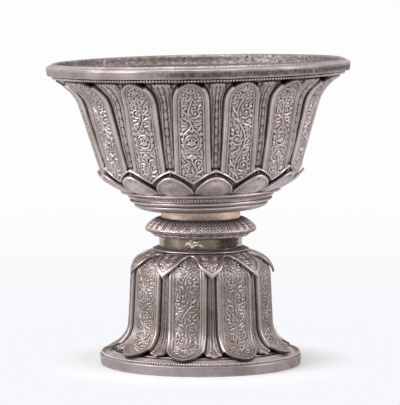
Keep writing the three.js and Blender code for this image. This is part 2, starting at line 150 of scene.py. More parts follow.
class Shell:
    """A closed mesh being gathered: grids of points, their wear-and-shade and ground masks, and faces between
    them.
    """

    def __init__(self) -> None:
        """Starts with nothing in it."""
        self.points: list[Array] = []
        self.masks: list[Array] = []
        self.faces: list[tuple[Array, bool]] = []
        self.count = 0

    def grid(self, points: Array, wear_and_shade: Array | float = 0.5, ground: Array | float = 0.0) -> Array:
        """Adds a grid of points.

        Args:
            points: an array that ends in x, y, z in mm.
            wear_and_shade: wear at each point, with any painted shade, or one value.
            ground: share of punched ground at each point, or one value.

        Returns:
            The points' numbers, in the grid's layout.
        """
        layout = points.shape[:-1]
        masks = np.stack([np.broadcast_to(wear_and_shade, layout), np.broadcast_to(ground, layout)], axis=-1)
        self.points.append(points.reshape(-1, 3))
        self.masks.append(masks.reshape(-1, 2))
        numbers = np.arange(self.count, self.count + math.prod(layout)).reshape(layout)
        self.count += numbers.size
        return numbers

    def quads(self, numbers: Array, wrap: bool = False) -> None:
        """Adds the faces between neighbouring rows and columns of a grid.

        Args:
            numbers: the grid's point numbers.
            wrap: whether the last column joins the first.
        """
        closed = np.concatenate([numbers, numbers[:, :1]], axis=1) if wrap else numbers
        corners = [closed[:-1, :-1], closed[:-1, 1:], closed[1:, 1:], closed[1:, :-1]]
        self.faces.append((np.stack(corners, axis=-1).reshape(-1, 4), True))

    def strip(self, rim: Array, back: Array, step: int) -> None:
        """Adds the faces of a sheet's cut edge, each from a run of front points to two back points.

        Args:
            rim: front points' numbers, against the front faces' direction.
            back: back points' numbers, one for each step of the front's.
            step: front points for each back point.
        """
        cell = np.arange(len(back) - 1)
        runs = rim[cell[:, None] * step + np.arange(step + 1)]
        corners = np.concatenate([runs, back[cell + 1][:, None], back[cell][:, None]], axis=1)
        self.faces.append((corners, False))

    def sheet(self, front: Array, back: Array, wear_and_shade: Array, ground: Array | float, step: int) -> None:
        """Adds a closed sheet: a fine front, a back that takes one point in each step, and four cut edges.

        Args:
            front: grid of the front's points.
            back: grid of the back's points, as fine as the front's.
            wear_and_shade: the front's wear, with any painted shade.
            ground: the front's share of punched ground.
            step: rows and columns of the front for each one of the back.
        """
        face = self.grid(front, wear_and_shade, ground)
        rear = self.grid(back[::step, ::step], 0.35)
        self.quads(face)
        self.quads(rear[:, ::-1])
        self.strip(face[0, ::-1], rear[0, ::-1], step)
        self.strip(face[-1], rear[-1], step)
        self.strip(face[:, 0], rear[:, 0], step)
        self.strip(face[::-1, -1], rear[::-1, -1], step)

    def fan(self, ring: Array, pole: int) -> None:
        """Adds triangles from a closed ring of point numbers to one point on the axis."""
        corners = np.stack([ring, np.roll(ring, -1), np.full_like(ring, pole)], axis=-1)
        self.faces.append((corners, True))

    def build(self, name: str, seat: Seat, finish: "Finish", node: str = "") -> None:
        """Makes the piece, which rides on the cup, with its faces turned outwards and its place in its mesh.

        Args:
            name: the piece's name.
            seat: the seat of its sub-assembly.
            finish: its finish.
            node: the CAD node that it stands for, if any.
        """
        points = seat.place(np.concatenate(self.points))
        # The volume is a sixth of the triangles' triple products, added up. Below 0, the faces point inwards.
        fans = [points[corners] - points.mean(axis=0) for corners, _ in self.faces]
        volume = sum(np.sum(fan[:, :1] * np.cross(fan[:, 1:-1], fan[:, 2:])) for fan in fans) / 6.0
        outward = 1 if volume > 0 else -1
        sizes = np.concatenate([np.full(len(corners), corners.shape[1]) for corners, _ in self.faces])
        loops = np.concatenate([corners[:, ::outward].ravel() for corners, _ in self.faces])
        smooth = np.concatenate([np.full(len(corners), is_smooth) for corners, is_smooth in self.faces])
        mesh = bpy.data.meshes.new(name)
        mesh.vertices.add(len(points))
        mesh.vertices.foreach_set("co", points.astype(np.float32).ravel())
        mesh.loops.add(len(loops))
        mesh.loops.foreach_set("vertex_index", loops.astype(np.int32))
        mesh.polygons.add(len(sizes))
        mesh.polygons.foreach_set("loop_start", (np.cumsum(sizes) - sizes).astype(np.int32))
        mesh.polygons.foreach_set("use_smooth", smooth)
        masks = np.concatenate(self.masks).astype(np.float32)
        for column, mask in enumerate(MASKS):
            layer = mesh.attributes.new(mask, "FLOAT", "POINT")
            layer.data.foreach_set("value", masks[:, column].copy())
        mesh.update(calc_edges=True)
        mesh.validate()
        mesh.materials.append(finish.material())
        piece = in_scene(name, mesh)
        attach(piece, BODY)
        if node:
            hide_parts(node)
        LOG.info("%s: %d faces", name, len(mesh.polygons))


def in_scene(name: str, data: bpy.types.ID) -> bpy.types.Object:
    """Puts an object into the scene.

    Args:
        name: its name.
        data: its mesh, lamp or camera.

    Returns:
        The object.
    """
    made = bpy.data.objects.new(name, data)
    bpy.context.scene.collection.objects.link(made)
    return made


def around(radius: Array | float, angle: Array, height: Array | float) -> Array:
    """Points at a radius and an angle round the axis, at a height."""
    radius, angle, height = np.broadcast_arrays(radius, angle, height)
    return np.stack([radius * np.cos(angle), radius * np.sin(angle), height], axis=-1)


def upright(inner: float, outer: float, low: float, high: float) -> list[Place]:
    """Corners of an upright wall's section, as (radius, height)."""
    return [(inner, low), (outer, low), (outer, high), (inner, high)]


def rounded(outline: list[Place], radius: float, steps: int = 3) -> Array:
    """A closed outline with each corner turned as a short quadratic bend, within 0.45 of the sides beside it.

    Args:
        outline: corners as (radius, height) in mm, counter-clockwise.
        radius: how far from a corner its bend starts.
        steps: points on each bend, less one.

    Returns:
        The outline's points, as rows of (radius, height).
    """
    corner = np.array(outline, dtype=float)
    before, after = np.roll(corner, 1, axis=0) - corner, np.roll(corner, -1, axis=0) - corner
    length_before = np.linalg.norm(before, axis=1, keepdims=True)
    length_after = np.linalg.norm(after, axis=1, keepdims=True)
    start = corner + before * np.minimum(radius / length_before, 0.45)
    end = corner + after * np.minimum(radius / length_after, 0.45)
    share = np.linspace(0.0, 1.0, steps + 1)[:, None, None]
    points = np.swapaxes(quadratic(start, corner, end, share), 0, 1)
    on_axis = corner[:, 0] == 0.0
    points[on_axis] = corner[on_axis][:, None, :]
    points = points.reshape(-1, 2)
    apart = np.linalg.norm(points - np.roll(points, 1, axis=0), axis=1) > 1e-6
    return points[apart]


def divided(outline: Array, spacing: float) -> Array:
    """A closed outline with points added so that no two are further apart than a spacing.

    Args:
        outline: rows of (radius, height), closed from the last to the first.
        spacing: the longest step in mm.

    Returns:
        The outline with its own points and the added ones.
    """
    closed = np.vstack([outline, outline[:1]])
    steps = np.linalg.norm(np.diff(closed, axis=0), axis=1)
    travelled = np.concatenate([[0.0], np.cumsum(steps)])
    counts = np.maximum(1, np.ceil(steps / spacing).astype(int))
    cell = np.repeat(np.arange(len(steps)), counts)
    first = np.repeat(np.cumsum(counts) - counts, counts)
    share = (np.arange(len(cell)) - first) / counts[cell]
    at = travelled[cell] + share * steps[cell]
    return np.stack([np.interp(at, travelled, closed[:, axis]) for axis in (0, 1)], axis=-1)


def turned(outline: Array, columns: int, relief: Relief | None = None, relief_wear: float = 0.3) -> Shell:
    """Turns a closed outline about the axis, with a relief along its outward normal.

    The wear-and-shade mask comes from how sharply the outline turns at each point, and from the relief.

    Args:
        outline: rows of (radius, height) in mm, counter-clockwise. It may start and end on the axis.
        columns: facets round the axis.
        relief: gives the offset in mm from angle, radius and height, or None.
        relief_wear: relief in mm that counts as full wear.

    Returns:
        The closed shell.
    """
    poles = outline[0, 0] == 0.0 and outline[-1, 0] == 0.0
    ahead = np.roll(outline, -1, axis=0) - outline
    behind = outline - np.roll(outline, 1, axis=0)
    turn = behind[:, 0] * ahead[:, 1] - behind[:, 1] * ahead[:, 0]
    scale = np.linalg.norm(ahead, axis=1) * np.linalg.norm(behind, axis=1) + 1e-9
    wear_and_shade = 0.5 + 0.9 * np.clip(turn / scale, -0.5, 0.5)
    along = ahead / (np.linalg.norm(ahead, axis=1, keepdims=True) + 1e-9)
    along += behind / (np.linalg.norm(behind, axis=1, keepdims=True) + 1e-9)
    along /= np.linalg.norm(along, axis=1, keepdims=True) + 1e-9
    normal = np.stack([along[:, 1], -along[:, 0]], axis=-1)
    angle = np.linspace(0.0, 2 * np.pi, columns, endpoint=False)[None, :]
    radius, height = outline[:, :1], outline[:, 1:]
    offset = np.zeros((len(outline), columns)) if relief is None else relief(angle, radius, height)
    worn = np.clip(wear_and_shade[:, None] + wear_from(offset, 2, relief_wear) - 0.5, 0.0, 1.0)
    points = around(radius + offset * normal[:, :1], angle, height + offset * normal[:, 1:])
    shell = Shell()
    if not poles:
        numbers = shell.grid(points, worn)
        shell.quads(np.concatenate([numbers, numbers[:1]])[::-1], wrap=True)
        return shell
    numbers = shell.grid(points[1:-1], worn[1:-1])
    ends = shell.grid(around(np.zeros(2), np.zeros(2), outline[[0, -1], 1]))
    shell.quads(numbers[::-1], wrap=True)
    shell.fan(numbers[0], int(ends[0]))
    shell.fan(numbers[-1, ::-1], int(ends[1]))
    return shell


def bead_row(radius: float, height: float, bead_radius: float, beads: int) -> Shell:
    """A wire of round beads bent into a ring. Each bead is a sphere whose ends stop at a thin dark neck.

    Args:
        radius: radius of the ring in mm.
        height: height of the beads' middles.
        bead_radius: radius of one bead.
        beads: how many beads stand on the ring.

    Returns:
        The closed shell.
    """
    rings, sides = 6, 8
    turn = (np.arange(rings) + 0.5) * np.pi / rings
    pitch = 2 * np.pi / beads
    middle = np.arange(beads)[:, None] * pitch
    angle = (middle - np.cos(turn) * pitch / 2).reshape(-1)[None, :]
    thickness = np.tile(bead_radius * np.maximum(np.sin(turn) ** 1.3, 0.25), beads)[None, :]
    round_wire = np.linspace(0, 2 * np.pi, sides, endpoint=False)[:, None]
    points = around(radius + thickness * np.cos(round_wire), angle, height + thickness * np.sin(round_wire))
    wear_and_shade = np.tile(np.clip(1.7 * np.sin(turn) - 0.75, 0, 1), beads)[None, :]
    shell = Shell()
    numbers = shell.grid(points, wear_and_shade)
    shell.quads(np.concatenate([numbers, numbers[:1]]), wrap=True)
    return shell


class SheetLine:
    """The line that a chased sheet follows: a straight wall that bends into its start and its end.

    Each bend is a quadratic Bezier curve. Its middle point lies on the wall's own line, by the bend's
    fullness beyond the wall's end.
    """

    SAMPLES = 300

    def __init__(self, corners: tuple[Place, ...], start_fullness: float, end_fullness: float) -> None:
        """Samples the line finely.

        Args:
            corners: start, wall's start, wall's end and end, as (radius, height) in mm.
            start_fullness: how far the first bend keeps the wall's line.
            end_fullness: how far the last bend keeps the wall's line.
        """
        start, wall_start, wall_end, end = (np.array(corner) for corner in corners)
        along = (wall_end - wall_start) / np.linalg.norm(wall_end - wall_start)
        share = np.linspace(0.0, 1.0, self.SAMPLES + 1)[:, None]
        first = quadratic(start, wall_start - along * start_fullness, wall_start, share)
        wall = wall_start + (wall_end - wall_start) * share
        last = quadratic(wall_end, wall_end + along * end_fullness, end, share)
        self.path = np.concatenate([first, wall[1:], last[1:]])
        steps = np.linalg.norm(np.diff(self.path, axis=0), axis=1)
        self.travelled = np.concatenate([[0.0], np.cumsum(steps)])
        tangent = np.gradient(self.path, self.travelled, axis=0)
        self.tangent = tangent / np.linalg.norm(tangent, axis=1, keepdims=True)
        self.wall_from, self.wall_to, self.length = self.travelled[self.SAMPLES :: self.SAMPLES].tolist()
        self.rises = bool(end[1] > start[1])

    def radius(self, length: Array) -> Array:
        """Radius of the line at lengths along it."""
        return np.interp(length, self.travelled, self.path[:, 0])

    def at(self, length: Array, offset: Array | float) -> tuple[Array, Array]:
        """Radius and height at lengths along the line, stood off along its normal.

        Args:
            length: lengths in mm from the line's start.
            offset: how far outwards from the line, in mm.

        Returns:
            Radii and heights in mm.
        """
        radius, height, out, up = (
            np.interp(length, self.travelled, column) for column in (*self.path.T, *self.tangent.T)
        )
        side = offset if self.rises else -offset
        return radius + side * up, height - side * out


@dataclass(frozen=True)
class Stroke:
    """One line of chased ornament: its points, its half width at each, and how far it stands up, in mm."""

    points: Array
    half_width: Array
    height: float

    def inside(self, x: Array, y: Array) -> Array:
        """How far inside the stroke's edge points lie: half width less the distance to the nearest segment.

        Args:
            x: places across the panel.
            y: places up the panel.

        Returns:
            Distances in mm, negative outside.
        """
        start, end = self.points[:-1], self.points[1:]
        along = end - start
        place = np.stack([x, y], axis=-1)[:, None, :]
        share = ((place - start) * along).sum(-1) / np.maximum((along**2).sum(-1), 1e-9)
        share = np.clip(share, 0.0, 1.0)
        gap = np.linalg.norm(place - start - share[..., None] * along, axis=-1)
        width = self.half_width[:-1] + share * (self.half_width[1:] - self.half_width[:-1])
        return (width - gap).max(axis=1)

    def near(self, x: Array, y: Array, margin: float) -> Array:
        """Which places lie within a margin of the box round the stroke.

        Args:
            x: places across the panel.
            y: places up the panel.
            margin: the margin in mm.

        Returns:
            True for each place that does.
        """
        margin = margin + self.half_width.max()
        low, high = self.points.min(axis=0) - margin, self.points.max(axis=0) + margin
        return (x > low[0]) & (x < high[0]) & (y > low[1]) & (y < high[1])


@dataclass
class Chasing:
    """A drawing of raised strokes on a panel, in mm: x across, y up the cup."""

    raised: float = 0.42
    groove: float = 0.24
    weight: float = 1.0
    bare: float = 0.68
    strokes: list[Stroke] = field(default_factory=list)

    def line(self, points: Array, half_width: float, tip: float = 0.35, height: float = 1.0) -> None:
        """Draws a line through rows of (x, y). Its half width thins evenly to the tip's share of it."""
        width = self.weight * half_width * np.linspace(1.0, tip, len(points))
        self.strokes.append(Stroke(np.asarray(points, dtype=float), width, self.raised * height))

    def stem(self, corners: list[Place], half_width: float, tip: float = 0.6) -> None:
        """Draws a smooth stem through corners, by a Catmull-Rom curve.

        Args:
            corners: places that the stem passes.
            half_width: half width at its root.
            tip: half width at its end, as a share of that at its root.
        """
        p = np.array([corners[0], *corners, corners[-1]], dtype=float)
        t = np.linspace(0.0, 1.0, 7)[:-1][None, :, None]
        a, b, c, d = (p[i : len(p) - 3 + i][:, None, :] for i in range(4))
        square, cube = (2 * a - 5 * b + 4 * c - d) * t**2, (3 * b - a - 3 * c + d) * t**3
        curve = 0.5 * (2 * b + (c - a) * t + square + cube)
        self.line(np.vstack([curve.reshape(-1, 2), p[-1]]), half_width, tip)

    def leaf(self, base: Place, tip: Place, width: float, bow: float = 0.0, height: float = 1.0) -> None:
        """Draws a leaf: a stroke bowed as half a sine, widest a third of the way up.

        Args:
            base: where it starts.
            tip: its pointed end.
            width: its full width.
            bow: how far its middle bends to the left.
            height: height as a share of the drawing's.
        """
        share = np.linspace(0.0, 1.0, 8)
        first, last = np.array(base, dtype=float), np.array(tip, dtype=float)
        span = last - first
        side = np.array([-span[1], span[0]]) / max(np.linalg.norm(span), 1e-6)
        points = first + share[:, None] * span + np.sin(np.pi * share)[:, None] * side * bow
        half = self.weight * np.sin(np.pi * share**0.75) ** 0.8 * width / 2
        self.strokes.append(Stroke(points, np.maximum(half, 0.08), self.raised * height))

    def dot(self, middle: Place, radius: float) -> None:
        """Draws a round dot."""
        points = np.array([middle, (middle[0] + 0.01, middle[1])], dtype=float)
        self.strokes.append(Stroke(points, np.full(2, radius), self.raised))

    def curl(self, middle: Place, radius: float, start: float, turns: float, hand: int) -> None:
        """Draws a spiral that winds in to a dot: the radius shrinks evenly with the angle.

        Args:
            middle: its centre.
            radius: radius at its outer end.
            start: angle of its outer end, in degrees.
            turns: how many turns it makes.
            hand: 1 winds counter-clockwise, -1 clockwise.
        """
        share = np.linspace(0.0, 1.0, int(16 * turns) + 2)
        angle = math.radians(start) + hand * 2 * np.pi * turns * share
        reach = radius * (1 - 0.8 * share)
        points = np.stack([middle[0] + reach * np.cos(angle), middle[1] + reach * np.sin(angle)], axis=-1)
        self.line(points, 0.34, 0.75)
        self.dot(middle, 0.22 * radius)

    def fan(self, root: Place, reach: float, aim: float, spread: float, count: int, width: float) -> None:
        """Draws leaves that spread from one root, the middle one the longest.

        Args:
            root: where they start.
            reach: length of the middle leaf.
            aim: its direction, in degrees.
            spread: angle from the first leaf to the last.
            count: how many leaves.
            width: width of each.
        """
        for share in np.linspace(-0.5, 0.5, count):
            angle = math.radians(aim + share * spread)
            length = reach * (1 - 0.5 * abs(share))
            tip = (root[0] + length * math.cos(angle), root[1] + length * math.sin(angle))
            self.leaf(root, tip, width, bow=-1.2 * share)

    def flower(self, middle: Place, radius: float, start: float, hand: int) -> None:
        """Draws a curled flower: a spiral with rounded lobes round its outer side.

        Args:
            middle: its centre.
            radius: radius of the spiral's outer end.
            start: angle where it leaves the stem, in degrees.
            hand: 1 winds counter-clockwise, -1 clockwise.
        """
        self.curl(middle, radius, start, 1.35, hand)
        for step in range(4):
            angle = math.radians(start + hand * (95 + 42 * step))
            lobe = (middle[0] + 1.12 * radius * math.cos(angle), middle[1] + 1.12 * radius * math.sin(angle))
            self.dot(lobe, 0.26 * radius)

    def scroll(self, foot: float, head: float, bay: float, swing: float, hand: int, rng: Random) -> None:
        """Draws the stem x = swing * sin(pi * (y - foot) / bay), with a curled flower and leaves in each bay.

        Args:
            foot: height where the stem starts.
            head: height where it ends.
            bay: about how long one bay is.
            swing: how far the stem swings to each side.
            hand: 1 swings to the right first, -1 to the left.
            rng: small differences of hand work.
        """
        bays = max(1, round((head - foot) / bay))
        bay = (head - foot) / bays
        y = np.linspace(foot, head, 12 * bays + 1)
        wave = hand * swing * np.sin(np.pi * (y - foot) / bay)
        self.line(np.stack([wave, y], axis=-1), 0.42, 0.8)
        for number in range(bays):
            side = hand * (-1) ** number
            middle = foot + (number + 0.5) * bay
            shift = rng.uniform(-0.3, 0.3)
            radius = 0.235 * bay * rng.uniform(0.92, 1.08)
            self.flower((-side * (1.95 + shift), middle + 0.4), radius, -90 + 40 * side, -side)
            edge = 4.9 + shift
            self.leaf((side * swing, middle - 0.5), (side * edge, middle + 0.3 * bay), 1.2, -0.6 * side)
            self.leaf((side * 1.2, middle - 0.36 * bay), (side * edge, middle - 0.16 * bay), 1.3, 0.5 * side)
            self.leaf((-side * 1.0, middle - 0.38 * bay), (-side * edge, middle - 0.47 * bay), 1.1, 0.5 * side)
            self.leaf((-side * 3.6, middle + 0.3 * bay), (-side * 5.3, middle + 0.48 * bay), 1.0, 0.4 * side)

    def finial(self, root: float) -> None:
        """Draws the three-leaved finial with a pair of curls.

        Args:
            root: height where the curls' stems part.
        """
        self.fan((0.0, root + 5.4), 4.6, 90, 96, 3, 1.7)
        for side in (-1, 1):
            self.stem([(0.0, root), (0.5 * side, root + 2.2), (0.2 * side, root + 4.2)], 0.4)
            self.curl((2.75 * side, root + 2.9), 2.0, 90 + 90 * side, 1.2, side)
            self.fan((3.4 * side, root + 4.6), 2.6, 90 - 24 * side, 80, 3, 0.9)

    def medallion(self, middle: float) -> None:
        """Draws a ring round a palmette, under a pointed niche with leaf sprays and over a hatched band.

        Args:
            middle: height of the ring's centre.
        """
        turn = np.linspace(0, 2 * np.pi, 33)
        ring = np.stack([3.55 * np.cos(turn), middle + 3.55 * np.sin(turn)], axis=-1)
        self.line(ring, 0.34, 1.0)
        self.fan((0.0, middle - 2.2), 4.0, 90, 150, 5, 1.05)
        self.dot((0.0, middle - 2.1), 0.6)
        for side in (-1, 1):
            self.stem([(0, middle + 9.2), (1.3 * side, middle + 6.6), (3.9 * side, middle + 4.2)], 0.4, 0.9)
            self.stem([(3.9 * side, middle + 4.2), (4.5 * side, middle), (3.4 * side, middle - 4.4)], 0.34, 0.9)
            self.leaf((0.3 * side, middle + 5.0), (0.9 * side, middle + 7.6), 1.1)
            self.fan((4.3 * side, middle + 3.6), 2.6, 90 - 55 * side, 90, 3, 1.0)
            self.leaf((4.6 * side, middle - 0.6), (5.7 * side, middle + 2.0), 1.1, 0.4 * side)
            self.leaf((4.2 * side, middle - 3.4), (5.6 * side, middle - 1.2), 1.1, 0.4 * side)
        for level in (middle - 4.3, middle - 6.0):
            self.line(np.array([(-3.6, level), (3.6, level)]), 0.25, 1.0, 0.8)
        for place in np.linspace(-3.0, 3.0, 9):
            self.line(np.array([(place - 0.3, middle - 5.8), (place + 0.3, middle - 4.5)]), 0.17, 1.0, 0.7)

    def drop(self, top: float) -> None:
        """Draws a three-leaved drop, with two curls and a flower on a stem below it.

        Args:
            top: height where the drop hangs.
        """
        self.fan((0.0, top), 4.2, -90, 110, 3, 1.9)
        self.stem([(0.0, top - 4.2), (1.6, top - 7.2), (2.3, top - 10.4), (0.6, top - 14.0)], 0.42)
        self.curl((-2.5, top - 7.0), 2.0, 40, 1.3, 1)
        self.curl((3.4, top - 4.6), 2.0, 200, 1.25, -1)
        self.flower((-1.9, top - 12.0), 1.7, 20, 1)
        self.leaf((2.3, top - 10.0), (5.0, top - 8.2), 1.3, -0.5)
        self.leaf((2.0, top - 12.0), (4.6, top - 13.2), 1.2, 0.5)
        self.leaf((-3.6, top - 4.6), (-5.4, top - 2.0), 1.2, 0.4)

    def fill(self, half_width: float, low: float, high: float, rng: Random) -> None:
        """Fills the bare ground with small leaves, the widest bare place first.

        A place's room is its distance to the nearest stroke or side. A leaf lies along that one of eight
        directions in which the room stays open the longest.

        Args:
            half_width: half the panel's width.
            low: height where the leaves start.
            high: height where they end.
            rng: small differences of hand work.
        """
        step, pace, clear, margin, widest = 0.25, 0.35, 0.26, 0.34, 1.2
        across, up = np.arange(-half_width, half_width + step, step), np.arange(low, high, step)
        x, y = (grid.ravel() for grid in np.meshgrid(across, up))
        room = half_width - np.abs(x)

        def keep_off(stroke: Stroke, reach: float) -> None:
            """Lessens the room beside a stroke."""
            near = stroke.near(x, y, reach)
            room[near] = np.minimum(room[near], -stroke.inside(x[near], y[near]))

        for stroke in self.strokes:
            keep_off(stroke, 3.0)
        turn = np.arange(8) * np.pi / 8 + 0.2
        ways = np.stack([np.cos(turn), np.sin(turn)], axis=-1)
        paces = pace * np.outer([1, -1], np.arange(1, 7))
        while room.max() > self.bare:
            spot = int(np.argmax(room))
            here = np.array([x[spot], y[spot]])
            places = here + paces[None, :, :, None] * ways[:, None, None, :]
            column = np.clip(np.rint((places[..., 0] - across[0]) / step).astype(int), 0, len(across) - 1)
            row = np.clip(np.rint((places[..., 1] - up[0]) / step).astype(int), 0, len(up) - 1)
            open_paces = np.cumprod(room[row * len(across) + column] > clear, axis=-1).sum(axis=-1)
            best = int(np.argmax(open_paces.sum(axis=-1)))
            ahead, behind = pace * (open_paces[best] + 0.3)
            width = min(2 * room[spot] - margin, widest)
            self.leaf(here - behind * ways[best], here + ahead * ways[best], width, rng.uniform(-0.4, 0.4), 0.5)
            keep_off(self.strokes[-1], 2.0)
            room[spot] = min(room[spot], 0.0)

    def relief(self, x: Array, y: Array) -> tuple[Array, Array]:
        """Relief of the strokes. Each rises over its outer 0.3 mm inside a groove, and the highest counts.

        Args:
            x: places across the panel.
            y: places up the panel.

        Returns:
            Heights in mm, negative in the grooves, and the share of each place that a stroke covers.
        """
        height, cover, cut = np.zeros(x.size), np.zeros(x.size), np.zeros(x.size)
        flat_x, flat_y = x.ravel(), y.ravel()
        for stroke in self.strokes:
            near = stroke.near(flat_x, flat_y, 0.7)
            inside = stroke.inside(flat_x[near], flat_y[near])
            share = smooth_step(-0.12, 0.3, inside)
            height[near] = np.maximum(height[near], share * stroke.height)
            cover[near] = np.maximum(cover[near], share)
            cut[near] = np.maximum(cut[near], bump(inside, -0.28, 0.42))
        relief = height - self.groove * cut * (1 - cover)
        return relief.reshape(x.shape), cover.reshape(x.shape)


class Pattern(Enum):
    """Which ornament a broad petal carries."""

    MEDALLION = "medallion"
    SCROLL = "scroll"
    FOOT_SCROLL = "foot scroll"


@dataclass(frozen=True)
class Border:
    """A petal's border in section: its heights in mm at distances in mm from the petal's outline."""

    inset: tuple[float, ...]
    height: tuple[float, ...]

    def at(self, inset: Array) -> Array:
        """Heights of the border at distances inside the outline."""
        return np.interp(inset, self.inset, self.height)


BROAD_BORDER = Border(
    (0.0, 0.3, 1.0, 1.65, 1.95, 2.2, 2.5, 2.8, 3.05, 3.3, 3.6),
    (-0.16, 0.04, 0.16, 0.02, -0.24, -0.52, -0.44, -0.24, -0.28, -0.56, -0.5),
)
DOUBLE_BORDER = Border(
    (0.0, 0.3, 0.8, 1.4, 1.8, 2.05, 2.3, 2.6, 2.9, 3.3, 3.6),
    (-0.16, 0.06, 0.16, 0.1, -0.1, -0.38, -0.3, -0.16, -0.24, -0.5, -0.46),
)
THIN_BORDER = Border((0.0, 0.2, 0.6, 1.0, 1.3, 1.6), (-0.22, 0.12, 0.26, 0.1, -0.2, -0.12))
STEEP_BORDER = Border((0.0, 0.3, 0.8, 1.3, 1.7, 2.1, 2.5), (-0.22, 0.14, 0.3, 0.12, 0.24, -0.26, -0.16))


@dataclass(frozen=True)
class Zigzag:
    """A ridge that rises over each sepal and falls between them; the sheet below it lies deep.

    Its level above the sheet's start is half a straight slope and half a parabola, from the low end at a
    petal's middle to the apex between two petals.
    """

    low: float = 11.4
    apex: float = 18.9
    depth: float = -1.2

    def cut(self, height: Array, share: Array, length: Array, half_pitch: float) -> tuple[Array, Array]:
        """Puts the ridge, a tick under its apex and the deep sheet below them into a relief.

        Places are measured square to the ridge: their height over its level, by the length of its slope.

        Args:
            height: the relief without them, in mm.
            share: 0 at a petal's middle, 1 between two petals.
            length: lengths along the sheet in mm.
            half_pitch: half the room of one petal, in mm.

        Returns:
            The relief with them, and a painted shade for each place: 1 in the light, less under the ridge.
        """
        rise = self.apex - self.low
        level = self.low + rise * (0.5 * share + 0.5 * (1 - (1 - share) ** 2))
        distance = (length - level) / np.sqrt(1 + (rise * (1.5 - share) / half_pitch) ** 2)
        places = (-0.9, -0.6, -0.35, 0.0, 0.3, 0.6)
        ridge = np.interp(distance, places, (self.depth, self.depth + 0.3, 0.2, 0.4, 0.22, -0.3))
        ridge = np.maximum(ridge, self.depth + (0.1 - self.depth) * bump(share, 1.0, 0.045) * (distance < 0))
        above = smooth_step(0.5, 0.9, distance)
        return above * height + (1 - above) * ridge, 1 - 0.22 * smooth_step(-0.35, -0.7, distance)


